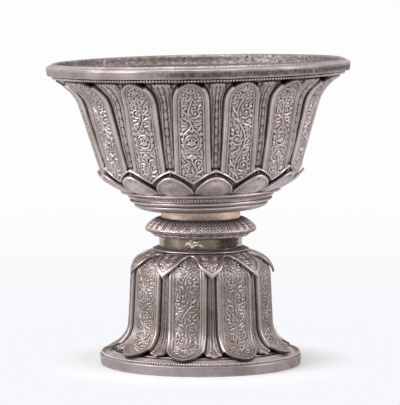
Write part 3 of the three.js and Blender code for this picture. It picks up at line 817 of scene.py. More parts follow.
@dataclass(frozen=True)
class PetalRing:
    """A ring of chased petals with narrow leaves between them, and sepals over their ends. Sizes in mm."""

    label: str
    petal_node: str
    finish: "Finish"
    seat: Seat
    line: SheetLine
    count: int
    turn: float
    width: float
    arch: float
    point: float
    notch: float
    leaf_drop: float
    border: Border
    sepal_length: float
    sepal_notch: float
    sepal_curl: float
    sepal_outline: Outline
    sepal_border: Border
    leaf_outline: Outline
    head_half: float
    seed: int
    twin_ribs: bool = False
    raised: float = 0.42
    weight: float = 1.12
    fill_from: float = 11.0
    full_wear: float = 0.5
    zigzag: Zigzag | None = None
    relief: float = 2.0
    relief_start: float = 9.0
    point_share: float = 0.62
    widest: float = 0.78
    wall: float = 0.72
    rows: int = 208
    step: int = 4
    sway: tuple[float, ...] = ()

    @property
    def pitch(self) -> float:
        """Angle from one petal to the next."""
        return 2 * math.pi / self.count

    def channel(self, length: Array) -> Array:
        """How deep the channels between the petals lie at lengths along the line."""
        return self.relief * smooth_step(0.0, self.relief_start, length)

    def drop(self, share: Array) -> Array:
        """How far a petal's end lies below its tip at shares of its half width: an arc with a small point."""
        share = np.clip(np.abs(share), 0.0, 1.0)
        return self.arch * (1 - np.sqrt(1 - share**2)) + self.point * np.minimum(share / self.point_share, 1.0)

    def share_at(self, below: Array | float) -> Array:
        """Half width of the arched end, as a share of the petal's, at lengths below its tip."""
        share = np.linspace(0.0, 1.0, 200)
        return np.interp(below, self.drop(share), share)

    def side(self, length: Array) -> Array:
        """Half width of a petal in mm at lengths along the line, down from its notch."""
        full = np.minimum(self.width, self.widest * self.pitch * self.line.radius(length)) / 2
        return full * self.share_at(np.maximum(self.line.length - length, self.notch))

    def lengths(self, drop: Array) -> Array:
        """Lengths of a grid's rows: even at the start, and parallel at the end to an edge that drops."""
        share = np.linspace(0.0, 1.0, self.rows + 1)[:, None]
        return share * self.line.length - drop[None, :] * share**5

    def lining(self, start: float, end: float, count: int) -> tuple[Array, Array]:
        """The plain sheet behind the ring, a line of solder under its channels.

        Args:
            start: length along the line where it starts.
            end: length where it ends.
            count: how many points it has.

        Returns:
            Its outer and its inner side, as rows of (radius, height).
        """
        length = np.linspace(start, end, count)
        depth = -self.channel(length) - SHEET - SOLDER
        return tuple(np.stack(self.line.at(length, offset), axis=-1) for offset in (depth, depth - PLAIN_SHEET))

    def swayed(self, angle: Array, length: Array) -> Array:
        """Sets the petals' ends aside by their own sways, which grow with the square of the length.

        A sway is even across a petal and straight from one petal to the next.

        Args:
            angle: angles round the axis.
            length: lengths along the line.

        Returns:
            The angles with the sways.
        """
        number = np.repeat(np.arange(-1, self.count + 1), 2)
        places = self.turn + self.pitch * (number + np.tile([-0.36, 0.36], self.count + 2))
        shift = np.interp(angle, places, np.take(self.sway, number, mode="wrap"))
        return angle + shift * (length / self.line.length) ** 2 / self.line.radius(self.line.length)

    def surface(self, angle: Array, length: Array, offset: Array) -> Array:
        """Points of the ring, with its slow dents and its sways.

        Args:
            angle: angles round the axis.
            length: lengths along the line.
            offset: how far they stand off the line.

        Returns:
            The points in mm.
        """
        uneven = unevenness(angle, length, self.seed, 0.1)
        radius, height = self.line.at(length, offset + uneven)
        return around(radius, self.swayed(angle, length) if self.sway else angle, height)

    def inset(self, x: Array, y: Array) -> Array:
        """Distance in mm from points on a petal to its outline.

        Args:
            x: places across the petal.
            y: lengths along the line.

        Returns:
            Distances inside the outline.
        """
        wall = np.linspace(0.0, self.line.length - self.notch, 90)
        share = np.linspace(self.share_at(self.notch), 0.0, 30)
        full = self.side(wall[-1:]) / share[0]
        across = np.concatenate([self.side(wall), full * share[1:]])
        along = np.concatenate([wall, self.line.length - self.drop(share[1:])])
        edge = Stroke(np.stack([across, along], axis=-1), np.zeros(len(along)), 0.0)
        return -edge.inside(np.abs(x).ravel(), y.ravel()).reshape(x.shape)

    def chased(
        self, share: Array, angle: Array, length: Array, height: Array, ground: Array,
        light: Array | float = 1.0,
    ) -> Shell:
        """A closed sheet with a relief, which takes in the zigzag ridge and fades towards the sheet's start.

        Args:
            share: 0 at a petal's middle, 1 between two petals.
            angle: angles round the axis.
            length: lengths along the line.
            height: the relief in mm, without the ridge.
            ground: share of punched ground.
            light: painted shade, 1 where a place lies open, without the ridge.

        Returns:
            The shell.
        """
        if self.zigzag is not None:
            half_pitch = self.pitch * float(self.line.radius(self.zigzag.apex)) / 2
            # The zigzag adds painted shade under its ridge.
            height, shade = self.zigzag.cut(height, share, length, half_pitch)
            light = light * shade
        height = height * np.clip(self.channel(length) / self.relief, 0.0, 1.0)
        depth = np.clip((height + self.relief) / (0.8 * self.relief), 0.0, 1.0)
        # Worn ridges and dark patina from the relief, times the painted shade.
        wear_and_shade = wear_from(height, 4, self.full_wear) * (0.78 + 0.22 * depth) * light
        front = self.surface(angle, length, height)
        back = self.surface(angle, length, blurred(height, 2) - 0.95 * SHEET)
        shell = Shell()
        shell.sheet(front, back, wear_and_shade, ground, self.step)
        return shell

    def build(self, shell: Shell, part: str, number: int, node: str = "") -> None:
        """Makes one numbered piece of the ring. The first one stands for the node of all of them."""
        shell.build(f"{self.label}_{part}_{number + 1:02d}", self.seat, self.finish, "" if number else node)

    def petals(self, pattern_of: Callable[[int], Pattern]) -> None:
        """Makes the broad petals, each with its own ornament.

        Args:
            pattern_of: gives the pattern from the petal's number, which is 0 at the front.
        """
        point = self.point_share
        across = np.concatenate([np.linspace(0, point, 21)[:-1], np.linspace(point, 1.0, 17)])
        beyond = self.wall * np.array([0.25, 0.5, 0.75, 1.0])
        shares = np.concatenate([np.full(4, -1.0), -across[:0:-1], across, np.full(4, 1.0)])
        outside = np.concatenate([-beyond[::-1], np.zeros(2 * len(across) - 1), beyond])
        on_petal = outside == 0
        drop = self.drop(float(self.share_at(self.notch)) * shares)
        length = self.lengths(np.where(on_petal, drop, self.notch))
        x = shares * self.side(length) + outside
        inset = self.inset(x, length)
        wall = np.interp(np.abs(outside), (0, *beyond), (-0.16, -0.7, -1.3, -1.8, -self.relief))
        crown = 0.32 * (1 - np.clip(np.abs(x) / 7.0, 0, 1) ** 2) * smooth_step(3.3, 4.2, inset)
        plain = np.where(on_petal, self.border.at(inset) + crown, wall)
        radius = self.line.radius(length)
        up = length if self.line.rises else self.line.length - length
        panel = smooth_step(3.0, 3.5, inset) * on_petal
        share = np.clip(np.abs(x / radius) / (self.pitch / 2), 0, 1)
        # Painted shade: the petals' arched ends turn darker along their outline.
        edge_light = 0.35 + 0.65 * smooth_step(0.0, 0.5, inset + 9 * (length < self.line.length - self.notch))
        for number in range(self.count):
            drawn, cover = self.ornament(pattern_of(number), number).relief(x, up)
            angle = self.turn + self.pitch * number + x / radius
            height, ground = plain + drawn * panel, panel * (1 - cover)
            shell = self.chased(share, angle, length, height, ground, edge_light)
            self.build(shell, "petal", number, self.petal_node)

    def ornament(self, pattern: Pattern, number: int) -> Chasing:
        """Draws one petal's ornament, with small differences from petal to petal.

        Args:
            pattern: which ornament.
            number: the petal's number.

        Returns:
            The drawing, with heights measured from the petals' lower end.
        """
        rng = np.random.default_rng(100 * self.seed + number)
        chasing = Chasing(raised=self.raised, weight=self.weight)
        length = self.line.length
        hand = -1 if number % 2 else 1
        if pattern is Pattern.MEDALLION:
            middle = 0.49 * length + rng.uniform(-0.5, 0.5)
            chasing.medallion(middle)
            chasing.drop(middle - 6.8)
            chasing.scroll(middle + 9.0, length - 15.0, 13.0, 1.5, -hand, rng)
            chasing.finial(length - 15.0)
        elif pattern is Pattern.SCROLL:
            chasing.scroll(14.0, length - 14.0, 14.5, 2.4, hand, rng)
            chasing.finial(length - 14.0)
        else:
            chasing.scroll(9.0, length - 5.0, 10.5, 2.4, hand, rng)
            chasing.fan((0.0, 9.5), 3.6, -90, 120, 3, 1.3)
            chasing.bare = 0.95
        chasing.fill(self.width / 2 - 3.3, self.fill_from, length - 3.0, rng)
        return chasing

    def midrib(self, x: Array, length: Array, half: Array) -> Array:
        """The ridge down a leaf's middle: a chain of pointed drops, or two ribs that part at the leaf's end.

        Args:
            x: places across the leaf.
            length: lengths along the line.
            half: the leaf's half width.

        Returns:
            Heights as a share of the midrib's.
        """
        if self.twin_ribs:
            parting = smooth_step(self.line.length - 15.0, self.line.length - 5.0, length)
            apart = 0.85 + 0.55 * (half - 2.0) * parting
            return bump(np.abs(x), apart, 0.75)
        share = (length / 4.7) % 1.0
        width = 0.15 + 0.85 * np.sin(np.pi * share**0.7) ** 0.9
        return smooth_step(-0.3, 0.35, width - np.abs(x))

    def leaves(self, mid_height: float, flare: float) -> None:
        """Makes the narrow leaves between the petals.

        A leaf has two lines along its edge, a midrib, and an end that flares, stands up and is cut to the
        leaves' outline between the notches beside it.

        Args:
            mid_height: how far the midrib stands up, in mm.
            flare: how far the flared end stands up, in mm.
        """
        share = np.linspace(-1.0, 1.0, 37)
        end = self.notch - (self.notch - self.leaf_drop) * np.interp(np.abs(share), *self.leaf_outline)
        length = self.lengths(end)
        radius, tip = self.line.radius(length), self.line.length
        half = self.pitch * radius / 2 - self.side(np.minimum(length, tip - self.notch)) - self.wall
        x = share * half
        edge = half - np.abs(x)
        inset = np.minimum(edge, 0.75 * (tip - end - length))
        lines = 0.36 * bump(inset, 0.6, 0.42) + 0.26 * bump(inset, 1.5, 0.38) * smooth_step(2.6, 3.4, half)
        veins = 0.14 * np.cos(2 * np.pi * (length + 1.1 * np.abs(x)) / 1.7) * smooth_step(1.0, 1.4, np.abs(x))
        head = np.minimum(edge, self.head_half - np.abs(x))
        lift = flare * smooth_step(tip - 17.0, tip - 4.0, length) * smooth_step(0, 1.6, head)
        relief = -self.relief + mid_height * self.midrib(x, length, half) + lines
        relief = relief + veins * smooth_step(1.4, 1.9, inset) + lift
        if not self.twin_ribs:
            below = tip - end.min() - length
            body = np.interp(below, (0.0, 1.2, 4.0, 8.0, 11.5, 15.0, 60.0), (0.6, 2.2, 3.9, 4.1, 2.9, 2.4, 2.7))
            outside = np.abs(x) - body
            relief = relief + 0.3 * bump(outside, -0.35, 0.5) - 0.5 * smooth_step(-0.1, 0.7, outside)
        across = 1 - np.abs(x / radius) / (self.pitch / 2)
        ground = 0.8 * smooth_step(1.2, 2.0, inset)
        for number in range(self.count):
            angle = self.turn + self.pitch * (number + 0.5) + x / radius
            self.build(self.chased(across, angle, length, relief, ground), "leaf", number)

    def sepals(self, chasing: Chasing, dome: float) -> None:
        """Makes the sepals that lie over the petals' ends, each between two petals.

        Args:
            chasing: their ornament, with heights measured from their tips.
            dome: how far their middles stand up, in mm.
        """
        share = np.linspace(-1.0, 1.0, 49)
        reach = np.interp(np.abs(share), *self.sepal_outline)
        end = self.sepal_notch + (self.sepal_length - self.sepal_notch) * reach
        length = np.linspace(0.0, 1.0, 49)[:, None] * end
        radius = self.line.radius(length)
        full = 0.985 * self.pitch
        x = share * (full * radius / 2)
        edge = np.stack([share * full * self.line.radius(end) / 2, end], axis=-1)
        outline = Stroke(edge, np.zeros(len(edge)), 0.0)
        inset = -outline.inside(x.ravel(), length.ravel()).reshape(x.shape)
        curl = self.sepal_curl * (length / self.sepal_length) ** 2
        crown = dome * smooth_step(1.2, 6.0, inset)
        drawn, cover = chasing.relief(x, length - self.sepal_length)
        border_width = self.sepal_border.inset[-1]
        panel = smooth_step(border_width - 0.4, border_width, inset)
        height = self.sepal_border.at(inset) + crown + drawn * panel
        wear_and_shade = np.clip(wear_from(height, 4, 0.3) + 0.16, 0.0, 1.0)
        for number in range(self.count):
            angle = self.turn + self.pitch * (number + 0.5) + x / radius
            front = self.surface(angle, length, height + curl + SOLDER + SHEET)
            back = self.surface(angle, length, np.minimum(blurred(height, 2), 0) + curl + SOLDER)
            shell = Shell()
            shell.sheet(front, back, wear_and_shade, panel * (1 - cover), self.step)
            self.build(shell, "sepal", number, f"{self.label}_sepal_ring")


class Wiring:
    """Adds nodes to a tree and joins them."""

    def __init__(self, tree: bpy.types.NodeTree) -> None:
        """Keeps the tree."""
        self.tree = tree

    @classmethod
    def fresh(cls, owner: bpy.types.Material | bpy.types.World) -> "Wiring":
        """Empties the tree of a material or a world.

        Args:
            owner: the material or the world.

        Returns:
            The wiring of its tree.
        """
        owner.use_nodes = True
        owner.node_tree.nodes.clear()
        return cls(owner.node_tree)

    def feed(self, node: bpy.types.Node, values: dict) -> bpy.types.Node:
        """Joins a node's inputs to other nodes' outputs, or sets them.

        Args:
            node: the node.
            values: another node's output, or a plain value, for each input by name or number.

        Returns:
            The same node.
        """
        for key, value in values.items():
            if isinstance(value, Socket):
                self.tree.links.new(value, node.inputs[key])
            else:
                node.inputs[key].default_value = value
        return node

    def node(self, kind: str, inputs: dict | None = None, **settings: object) -> bpy.types.Node:
        """Adds a shader node.

        Args:
            kind: its type, less the word ShaderNode.
            inputs: what goes into its sockets, as in feed.
            settings: its own properties.

        Returns:
            The node.
        """
        made = self.tree.nodes.new(f"ShaderNode{kind}")
        for key, value in settings.items():
            setattr(made, key, value)
        return self.feed(made, inputs or {})

    def noise(self, vector: Socket, scale: Socket | float, detail: float = 3.0) -> Socket:
        """Noise between 0 and 1 at a scale in lumps for each metre."""
        return self.node("TexNoise", {"Vector": vector, "Scale": scale, "Detail": detail}).outputs[0]

    def ramp(self, value: Socket, low: float, high: float, start: float = 0.0, end: float = 1.0) -> Socket:
        """A smooth step from start at low to end at high."""
        inputs = {"Value": value, "From Min": low, "From Max": high, "To Min": start, "To Max": end}
        return self.node("MapRange", inputs, interpolation_type="SMOOTHSTEP").outputs[0]

    def math(self, operation: str, first: Socket | float, *others: Socket | float) -> Socket:
        """A sum, product or difference of numbers, taken from left to right.

        Args:
            operation: which of them.
            first: the first number.
            others: the numbers that follow.

        Returns:
            The result.
        """
        for other in others:
            first = self.node("Math", {0: first, 1: other}, operation=operation).outputs[0]
        return first

    def swing(self, noise: Socket, reach: Socket | float) -> Socket:
        """Noise that swings about 0: (noise - 0.5) * reach."""
        return self.math("MULTIPLY", self.math("SUBTRACT", noise, 0.5), reach)

    def blend(self, share: Socket | float, first: object, second: object) -> Socket:
        """A mix of two colours."""
        return self.node("Mix", {0: share, 6: first, 7: second}, data_type="RGBA").outputs[2]


def new_group(name: str, inputs: dict[str, str], outputs: dict[str, str]) -> tuple[Wiring, object, object]:
    """Starts a node group.

    Args:
        name: its name.
        inputs: kinds of its input sockets, by name.
        outputs: kinds of its output sockets, by name.

    Returns:
        The wiring of its tree, the outputs of its input node, and its output node.
    """
    tree = bpy.data.node_groups.new(name, "ShaderNodeTree")
    for direction, sockets in (("INPUT", inputs), ("OUTPUT", outputs)):
        for socket, kind in sockets.items():
            tree.interface.new_socket(name=socket, in_out=direction, socket_type=f"NodeSocket{kind}")
    return Wiring(tree), tree.nodes.new("NodeGroupInput").outputs, tree.nodes.new("NodeGroupOutput")


@cache
def patina_group() -> bpy.types.NodeTree:
    """Patina on worked metal: bright where it is worn, dark in the hollows, with blotches and warm stains.

    Returns:
        The group, made once.
    """
    inputs = {"Vector": "Vector", "Wear And Shade": "Float", "Bright": "Color", "Body": "Color", "Deep": "Color"}
    inputs |= {"Stain": "Color", "Stain Share": "Float", "Blotch": "Float"}
    wiring, given, out = new_group("patina", inputs, {"Color": "Color", "Metal": "Float", "Rough": "Float"})
    place = given["Vector"]
    blotches = wiring.noise(place, given["Blotch"], 4.0)
    mottles = wiring.swing(wiring.noise(place, 620.0), 0.3)
    specks = wiring.swing(wiring.noise(place, 2600.0, 2.0), 0.16)
    broken = wiring.math("ADD", given["Wear And Shade"], mottles, specks)
    hollow = wiring.ramp(broken, 0.44, 0.16)
    worn = wiring.math("MULTIPLY", wiring.ramp(broken, 0.53, 0.82), wiring.ramp(blotches, 0.3, 0.6, 0.55))
    body = wiring.blend(wiring.ramp(blotches, 0.32, 0.68, 0.0, 0.42), given["Body"], given["Bright"])
    shiny = wiring.blend(worn, body, given["Bright"])
    places = wiring.ramp(wiring.noise(place, 52.0, 5.0), 0.5, 0.68)
    spared = wiring.math("SUBTRACT", 1.0, wiring.math("MULTIPLY", worn, 0.5))
    stain = wiring.math("MULTIPLY", places, given["Stain Share"], spared)
    stained = wiring.blend(stain, shiny, given["Stain"])
    shares = ((hollow, 0.3), (stain, 0.15), (worn, -0.12))
    rough = [wiring.math("MULTIPLY", mask, share) for mask, share in shares]
    results = {
        "Color": wiring.blend(hollow, stained, given["Deep"]),
        "Metal": wiring.math("SUBTRACT", 1.0, wiring.math("MULTIPLY", hollow, 0.55)),
        "Rough": wiring.math("ADD", *rough),
    }
    wiring.feed(out, results)
    return wiring.tree


@cache
def tooling_group() -> bpy.types.NodeTree:
    """Tool marks: round punch marks on the ground, and fine scratches and dents everywhere.

    Returns:
        The group, made once. Its height is between -1 and 1, and Pits is 1 in the punch marks of the ground.
    """
    inputs = {"Vector": "Vector", "Ground": "Float", "Punch": "Float", "Streak": "Float", "Dent": "Float"}
    wiring, given, out = new_group("tooling", inputs, {"Height": "Float", "Pits": "Float"})
    place = given["Vector"]
    cells = wiring.node("TexVoronoi", {"Vector": place, "Scale": 1200.0}, feature="F1").outputs["Distance"]
    punched = wiring.math("MULTIPLY", wiring.ramp(cells, 0.0, 0.55, -1.0, 0.0), given["Ground"], given["Punch"])
    pits = wiring.math("MULTIPLY", wiring.ramp(cells, 0.42, 0.12), given["Ground"])
    long = wiring.node("Mapping", {"Vector": place, "Scale": (60.0, 60.0, 2400.0)}).outputs[0]
    lines = wiring.swing(wiring.noise(long, 1.0, 2.0), given["Streak"])
    dents = wiring.swing(wiring.noise(place, 150.0, 2.0), given["Dent"])
    fine = wiring.swing(wiring.noise(place, 1800.0), 0.25)
    wiring.feed(out, {"Height": wiring.math("ADD", punched, lines, dents, fine), "Pits": pits})
    return wiring.tree


@dataclass(frozen=True)
class Finish:
    """A metal finish: its colours, how rough it is, and its tool marks."""

    name: str
    slot: str
    bright: Colour
    body: Colour
    deep: Colour
    stain: Colour
    stain_share: float = 0.5
    blotch: float = 75.0
    rough: float = 0.4
    punch: float = 0.9
    streak: float = 0.25
    dent: float = 0.6
    bump: float = 0.12
    pitting: float = 0.3

    @cache
    def material(self) -> bpy.types.Material:
        """The finish as a material, made once.

        Returns:
            The material. It reads Object coordinates and the pieces' wear-and-shade and ground masks.
        """
        material = bpy.data.materials.new(self.name)
        wiring = Wiring.fresh(material)
        place = wiring.node("TexCoord").outputs["Object"]
        wear_and_shade, ground = (wiring.node("Attribute", attribute_name=mask).outputs["Fac"] for mask in MASKS)
        marks = {"Vector": place, "Ground": ground}
        marks |= {"Punch": self.punch, "Streak": self.streak, "Dent": self.dent}
        tooling = wiring.node("Group", marks, node_tree=tooling_group()).outputs
        pits = wiring.math("MULTIPLY", tooling["Pits"], -self.pitting)
        colours = {"Bright": self.bright, "Body": self.body, "Deep": self.deep, "Stain": self.stain}
        shades = {name: (*colour, 1.0) for name, colour in colours.items()}
        shades |= {"Vector": place, "Wear And Shade": wiring.math("ADD", wear_and_shade, pits)}
        shades |= {"Stain Share": self.stain_share, "Blotch": self.blotch}
        patina = wiring.node("Group", shades, node_tree=patina_group()).outputs
        relief = wiring.node("Bump", {"Height": tooling["Height"], "Strength": 1.0, "Distance": self.bump * MM})
        looks = {
            "Base Color": patina["Color"],
            "Metallic": patina["Metal"],
            "Roughness": wiring.math("ADD", patina["Rough"], self.rough),
            "Normal": relief.outputs[0],
        }
        shader = wiring.node("BsdfPrincipled", looks)
        wiring.node("OutputMaterial", {"Surface": shader.outputs[0]})
        return material


CHASED = Finish(
    name="chased_silver_patina", slot="chased_silver",
    bright=(0.84, 0.73, 0.725), body=(0.455, 0.383, 0.376), deep=(0.055, 0.042, 0.04), stain=(0.38, 0.29, 0.22),
    stain_share=0.35, rough=0.46,
)
# The same chased silver as CHASED, darker all over: painted shade for the foot's petals, leaves and sepals.
CHASED_FOOT_SHADED = Finish(
    name="foot_silver_patina_shaded", slot="chased_silver",
    bright=(0.55, 0.477, 0.467), body=(0.275, 0.234, 0.226), deep=(0.05, 0.04, 0.037), stain=(0.25, 0.19, 0.14),
    stain_share=0.45, rough=0.46,
)
PLAIN = Finish(
    name="plain_silver_tarnish", slot="plain_silver",
    bright=(0.74, 0.64, 0.635), body=(0.35, 0.3, 0.298), deep=(0.05, 0.04, 0.04), stain=(0.42, 0.33, 0.29),
    stain_share=0.35, rough=0.38, streak=0.5,
)
DULL = Finish(
    name="plain_silver_dull", slot="plain_silver",
    bright=(0.66, 0.57, 0.56), body=(0.36, 0.3, 0.295), deep=(0.05, 0.04, 0.038), stain=(0.38, 0.3, 0.26),
    stain_share=0.35, rough=0.42,
)
# Plain silver with real mottles and stains, darker than PLAIN all over as painted shade for the foot band and
# the collar.
WORN_SHADED = Finish(
    name="plain_silver_mottled_shaded", slot="plain_silver",
    bright=(0.52, 0.45, 0.45), body=(0.33, 0.28, 0.28), deep=(0.07, 0.055, 0.055), stain=(0.2, 0.155, 0.15),
    stain_share=0.6, blotch=120.0, rough=0.42, streak=0.4, dent=0.9,
)
LINER = Finish(
    name="liner_silver_streaked", slot="liner_silver",
    bright=(0.36, 0.31, 0.29), body=(0.19, 0.16, 0.145), deep=(0.05, 0.04, 0.035), stain=(0.2, 0.15, 0.11),
    stain_share=0.6, rough=0.5, streak=0.7,
)
COPPER = Finish(
    name="copper_neck_worn", slot="copper_neck",
    bright=(0.9, 0.6, 0.46), body=(0.6, 0.5, 0.47), deep=(0.12, 0.075, 0.06), stain=(0.6, 0.42, 0.34),
    stain_share=0.3, blotch=140.0, rough=0.42,
)
BRASS = Finish(
    name="brass_sleeve_dark", slot="brass_sleeve",
    bright=(0.78, 0.62, 0.52), body=(0.155, 0.128, 0.107), deep=(0.05, 0.036, 0.028), stain=(0.18, 0.145, 0.1),
    stain_share=0.4, rough=0.42,
)
TIN = Finish(
    name="solder_pale", slot="repair_solder",
    bright=(0.92, 0.82, 0.66), body=(0.7, 0.59, 0.45), deep=(0.12, 0.1, 0.07), stain=(0.5, 0.42, 0.24),
    stain_share=0.4, rough=0.48, dent=1.0, bump=0.3,
)


@dataclass(frozen=True)
class Foot:
    """The foot: band, plate, beaded wire, petals, leaves, sepals, and the bell and crown inside them."""

    radius: float = 53.2
    band_taper: float = 0.4
    band_height: float = 5.2
    ledge_width: float = 2.2
    wire_radius: float = 0.65
    beads: int = 250
    plate_hole: float = 39.5
    plate_slope: float = 1.8
    plate_swell: Place = (46.6, 2.5)
    bell_lip: float = 44.0
    crown_radius: float = 24.6
    crown_height: float = 58.9
    shoulder_radius: float = 37.0
    shoulder_drop: float = 11.4
    waist_radius: float = 38.2
    waist_length: float = 25.0
    tip_inset: float = 3.0
    tip_height: float = 8.1
    fullness: Place = (8.8, 9.5)
    petal_turn: float = -11.0
    seat: Seat = Seat()

    @property
    def ledge_top(self) -> float:
        """Height of the ledge that carries the plate."""
        return self.band_height - PLAIN_SHEET - SOLDER

    def ring(self) -> PetalRing:
        """The foot's ring of petals, whose line runs down from the crown.

        Returns:
            The ring.
        """
        shoulder = self.crown_height - self.shoulder_drop
        corners = (
            (self.crown_radius, self.crown_height), (self.shoulder_radius, shoulder),
            (self.waist_radius, shoulder - self.waist_length), (self.radius - self.tip_inset, self.tip_height),
        )
        sepal_outline = (
            (0.0, 0.05, 0.12, 0.3, 0.45, 0.57, 0.63, 0.7, 0.82, 1.0),
            (1.0, 0.94, 0.89, 0.78, 0.65, 0.5, 0.34, 0.18, 0.06, 0.0),
        )
        return PetalRing(
            label="foot", petal_node="foot_petal_skirt", finish=CHASED_FOOT_SHADED, seat=self.seat,
            line=SheetLine(corners, *self.fullness), count=9, turn=FRONT + math.radians(self.petal_turn),
            width=20.2, arch=9.0, point=0.9, notch=7.5, leaf_drop=3.6, border=DOUBLE_BORDER,
            sepal_length=17.8, sepal_notch=2.6, sepal_curl=0.8, sepal_outline=sepal_outline,
            sepal_border=STEEP_BORDER,
            leaf_outline=((0.0, 0.12, 0.3, 0.42, 0.65, 0.86, 1.0), (1.0, 0.93, 0.7, 0.66, 0.62, 0.4, 0.0)),
            head_half=12.0, seed=3, twin_ribs=True, raised=0.34, weight=0.72, fill_from=6.0, rows=172,
        )

    def build(self) -> None:
        """Makes and dresses the foot's pieces."""
        inner = self.radius - PLAIN_SHEET
        ledge = inner - self.ledge_width
        base = self.ledge_top + SOLDER
        narrow, top, ledge_top = self.band_taper, self.band_height, self.ledge_top
        band = [
            (inner - narrow, 0.0), (self.radius - narrow, 0.0), (self.radius, top), (inner, top),
            (inner, ledge_top), (ledge, ledge_top), (ledge, ledge_top - PLAIN_SHEET),
            (inner - narrow, ledge_top - 2 * PLAIN_SHEET),
        ]
        dented = turned(divided(rounded(band, 0.35), 1.2), 360, self.band_dents)
        dented.build("foot_standing_band", self.seat, WORN_SHADED, "foot_band")

        edge, lip, slope = inner - SOLDER, self.bell_lip + 0.4, base + self.plate_slope
        swell, rise = self.plate_swell
        plate = [
            (self.plate_hole, slope), (lip, slope), (swell, base + rise), (ledge, base), (edge, base),
            (edge, base + PLAIN_SHEET), (ledge + 0.5, base + PLAIN_SHEET), (swell, base + rise + PLAIN_SHEET),
            (lip, slope + PLAIN_SHEET), (self.plate_hole, slope + PLAIN_SHEET),
        ]
        tray = turned(divided(rounded(plate, 0.25), 1.0), 256, self.plate_dents)
        tray.masks[0][:, 1] = 1.0
        tray.build("foot_stippled_plate", self.seat, CHASED, "foot_plate")

        wire_height = base + PLAIN_SHEET + SOLDER + self.wire_radius
        beads = bead_row(edge + SOLDER / 2, wire_height, self.wire_radius, self.beads)
        beads.build("foot_bead_row", self.seat, DULL, "foot_bead_wire")

        ring = self.ring()
        ring.petals(lambda number: Pattern.FOOT_SCROLL)
        ring.leaves(0.5, 0.9)
        ring.sepals(self.sepal_chasing(ring), 0.4)
        self.build_lining(ring, slope + PLAIN_SHEET + SOLDER)

    def band_dents(self, angle: Array, radius: Array, height: Array) -> Array:
        """Dents of the outer face of the band; its edges at the floor stay flat."""
        out = smooth_step(self.radius - 0.9, self.radius - 0.5, radius)
        return out * smooth_step(0.2, 1.4, height) * unevenness(3 * angle, 2.0 * height, 5, 0.1)

    def plate_dents(self, angle: Array, radius: Array, height: Array) -> Array:
        """Slow waves of the plate inside its edge."""
        return smooth_step(self.radius - 2, self.radius - 6, radius) * unevenness(angle, radius, 6, 0.08)

    def sepal_chasing(self, ring: PetalRing) -> Chasing:
        """Foliage on a foot's sepal: a stem with a curl on each side and leaves that fill the rest.

        Args:
            ring: the foot's ring of petals.

        Returns:
            The drawing, with heights measured from the sepal's tip.
        """
        chasing = Chasing(raised=0.3, weight=0.85, bare=0.8)
        chasing.stem([(0.0, -3.6), (0.0, -8.0), (0.0, -15.0)], 0.36)
        for side in (-1, 1):
            chasing.leaf((0.2 * side, -3.8), (2.2 * side, -6.6), 1.1, 0.4 * side)
            chasing.curl((2.4 * side, -9.6), 1.7, 90 - 90 * side, 1.2, -side)
            chasing.leaf((0.4 * side, -11.6), (4.6 * side, -13.6), 1.2, 0.5 * side)
        chasing.fill(6.2, -ring.sepal_length, -3.0, np.random.default_rng(71))
        return chasing

    def build_lining(self, ring: PetalRing, seat_height: float) -> None:
        """Makes the crown and the bell inside the petals. The bell's foot spreads in a quadratic bend.

        Args:
            ring: the foot's ring of petals.
            seat_height: height where the bell spreads on to the plate.
        """
        line = ring.line
        outer, inner = (side[1:] for side in ring.lining(0.0, line.wall_from, 24))
        top = self.crown_height - SHEET - SOLDER
        under = [(0.0, top - PLAIN_SHEET), (inner[0, 0] - 1, top - PLAIN_SHEET)]
        crown = np.vstack([under, inner, outer[::-1], [(outer[0, 0] - 1, top), (0.0, top)]])
        turned(crown, 96).build("foot_crown_sheet", self.seat, LINER, "foot_crown")

        outer, inner = ring.lining(line.wall_from + SOLDER, line.wall_to, 24)
        share = np.linspace(0.0, 1.0, 14)[1:, None]
        spreads = [
            quadratic(start, (start[0], height), (self.bell_lip, height), share)
            for start, height in ((inner[-1], seat_height), (outer[-1], seat_height + PLAIN_SHEET))
        ]
        bell = np.vstack([inner, spreads[0], spreads[1][::-1], outer[::-1]])
        # The bell's dark liner finish also paints the shade in the gaps under the foot's petals.
        turned(bell, 192).build("foot_bell_sheet", self.seat, LINER, "foot_bell")


